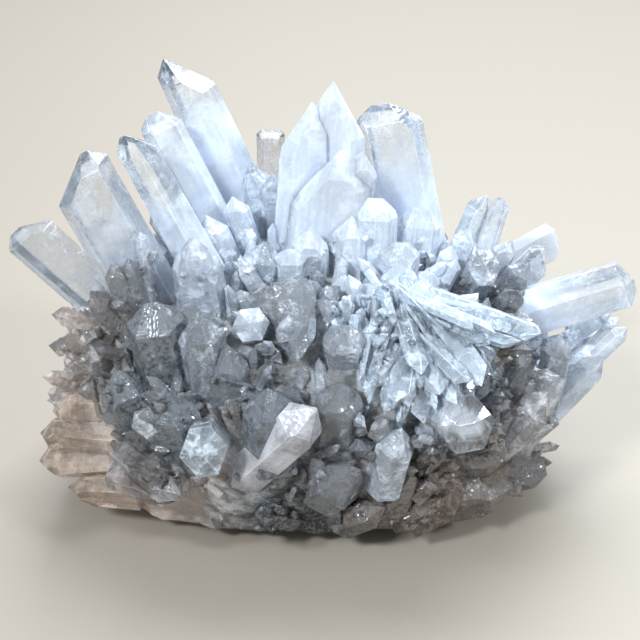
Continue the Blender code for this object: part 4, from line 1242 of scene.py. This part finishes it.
# %% [markdown]
# ## The spray
# Low at the right, thin clear blades fan out from one place like the petals of a
# chrysanthemum. They give the cluster its name. Each blade starts near the fan's centre and
# points somewhere between right and down to the left, leaning out of the mound.

# %% The fan of needles and blades
FAN_CENTRE = np.array([20.0, -17.0, 44.5])
FAN_FIRST, FAN_LAST = 66.0, 215.0
FAN_LEAST_OUT, FAN_MOST_OUT = 34.0, 64.0


def fan_blades(count, seed, width_range, length_range, flatness):
    """Blades whose roots crowd around the fan's centre and that point down and outward.

    Direction = (sin spread x cos toward, -sin toward, cos spread x cos toward).
    """
    chance = np.random.default_rng(seed)
    spread = np.radians(chance.uniform(FAN_FIRST, FAN_LAST, count))
    toward = np.radians(chance.uniform(FAN_LEAST_OUT, FAN_MOST_OUT, count))
    directions = np.stack([np.sin(spread) * np.cos(toward), -np.sin(toward),
                           np.cos(spread) * np.cos(toward)], axis=1)
    crowd = chance.normal(0.0, 1.0, (count, 3)) * [2.5, 1.0, 1.6]
    roots = FAN_CENTRE + crowd + directions * 2.0
    widths = chance.uniform(*width_range, count)
    lengths = chance.uniform(*length_range, count)
    points, faces = small_crystals(roots, directions, widths, lengths, chance, flatness, 5.0)
    milk = np.repeat(chance.uniform(0.15, 0.8, count), SMALL_POINTS)
    return points, faces, np.stack([milk, 0.02 + 0.0 * milk, 0.0 * milk], axis=1)


points, faces, looks = fan_blades(60, 5, (0.8, 2.4), (9.0, 19.0), (0.45, 0.8))
make_small("fan_needles", points, faces, looks, spray_finish)
points, faces, looks = fan_blades(22, 8, (2.6, 5.0), (12.0, 19.0), (0.25, 0.5))
make_small("fan_blades", points, faces, looks, spray_finish, edge=CLEAR_EDGE)

# %% The glittering tips around the fan's centre
GLITTER_COUNT = 110
GLITTER_SPREAD = np.array([5.0, 2.5, 4.0])
GLITTER_SHIFT = np.array([-3.0, -1.5, -2.0])

chance = np.random.default_rng(21)
roots = FAN_CENTRE + chance.normal(0.0, 1.0, (GLITTER_COUNT, 3)) * GLITTER_SPREAD
roots = roots + GLITTER_SHIFT
directions = chance.normal(0.0, 0.6, (GLITTER_COUNT, 3)) + [0.1, -1.0, 0.35]
widths = chance.uniform(0.8, 2.4, GLITTER_COUNT)
lengths = chance.uniform(0.6, 3.0, GLITTER_COUNT)
points, faces = small_crystals(roots, directions, widths, lengths, chance)
milk = np.repeat(chance.uniform(0.3, 0.9, GLITTER_COUNT), SMALL_POINTS)
looks = np.stack([milk, 0.0 * milk, 0.0 * milk], axis=1)
make_small("fan_glitter", points, faces, looks, spray_finish)

# %% [markdown]
# ## Floor, light and camera
# The cluster stands on a plain pale floor. The main light comes from above and behind, a
# little to the right, so the crystals glow from inside and the shadow falls toward the
# viewer. Two small lights in front make the glints, and an even sky fills the rest.

# %% The floor
FLOOR_REACH = 3.0
FLOOR_LINES = 9
PALE_FLOOR = (0.30, 0.26, 0.21, 1.0)

line = np.linspace(-FLOOR_REACH, FLOOR_REACH, FLOOR_LINES)
x, y = np.meshgrid(line, line)
sheet = np.stack([x, y, 0.0 * x], axis=-1)
across, along = np.meshgrid(np.arange(FLOOR_LINES - 1), np.arange(FLOOR_LINES - 1))
low = (along * FLOOR_LINES + across).ravel()
squares = np.stack([low, low + 1, low + FLOOR_LINES + 1, low + FLOOR_LINES], axis=1)
floor_mesh = bpy.data.meshes.new("floor")
floor_mesh.from_pydata(sheet.reshape(-1, 3).tolist(), [], squares.tolist())
floor = bpy.data.objects.new("floor", floor_mesh)
bpy.context.scene.collection.objects.link(floor)
floor_finish = bpy.data.materials.new("pale_floor")
floor_finish.use_nodes = True
floor_shader = floor_finish.node_tree.nodes["Principled BSDF"]
floor_shader.inputs["Base Color"].default_value = PALE_FLOOR
floor_shader.inputs["Roughness"].default_value = 0.5
floor_mesh.materials.append(floor_finish)
print("floor", 2.0 * FLOOR_REACH, "m wide")


# %% Lights
def soft_light(name, place, target, size, power, colour):
    """A square area light that faces a target."""
    data = bpy.data.lights.new(name, "AREA")
    data.shape = "SQUARE"
    data.size = size
    data.energy = power
    data.color = colour
    lamp = bpy.data.objects.new(name, data)
    lamp.location = place
    lamp.rotation_euler = (Vector(target) - Vector(place)).to_track_quat("-Z", "Y").to_euler()
    bpy.context.scene.collection.objects.link(lamp)
    print(name, "light", size, "m wide,", power, "W")


MIDDLE = (0.004, 0.0, 0.03)
WINDOW_COLOUR, GLINT_COLOUR = (0.88, 0.94, 1.0), (0.86, 0.93, 1.0)
SKY_COLOUR, SKY_STRENGTH = (0.80, 0.87, 0.95, 1.0), 0.65

soft_light("window", (0.15, 0.60, 0.80), MIDDLE, 0.80, 18.0, WINDOW_COLOUR)
soft_light("room", (-0.35, -0.40, 0.50), MIDDLE, 0.11, 4.8, GLINT_COLOUR)
soft_light("side", (0.50, -0.25, 0.40), MIDDLE, 0.10, 3.0, GLINT_COLOUR)
world = bpy.data.worlds.new("room_light")
world.use_nodes = True
sky = world.node_tree.nodes["Background"]
sky.inputs["Color"].default_value = SKY_COLOUR
sky.inputs["Strength"].default_value = SKY_STRENGTH
bpy.context.scene.world = world
bpy.context.scene.view_settings.view_transform = "Standard"

# %% Camera
CAMERA_HEIGHT = math.radians(28.0)
CAMERA_REACH = 0.213
CAMERA_TARGET = Vector((0.004, 0.0, 0.0335))
lens = bpy.data.cameras.new("camera")
lens.lens = 60.0
lens.sensor_width = 36.0
lens.clip_start = 0.01
camera = bpy.data.objects.new("camera", lens)
camera.location = CAMERA_TARGET + CAMERA_REACH * Vector(
    (0.0, -math.cos(CAMERA_HEIGHT), math.sin(CAMERA_HEIGHT)))
camera.rotation_euler = (CAMERA_TARGET - camera.location).to_track_quat("-Z", "Y").to_euler()
bpy.context.scene.collection.objects.link(camera)
bpy.context.scene.camera = camera
print("camera", [round(value, 3) for value in camera.location])

# %% The end
bpy.context.view_layer.update()
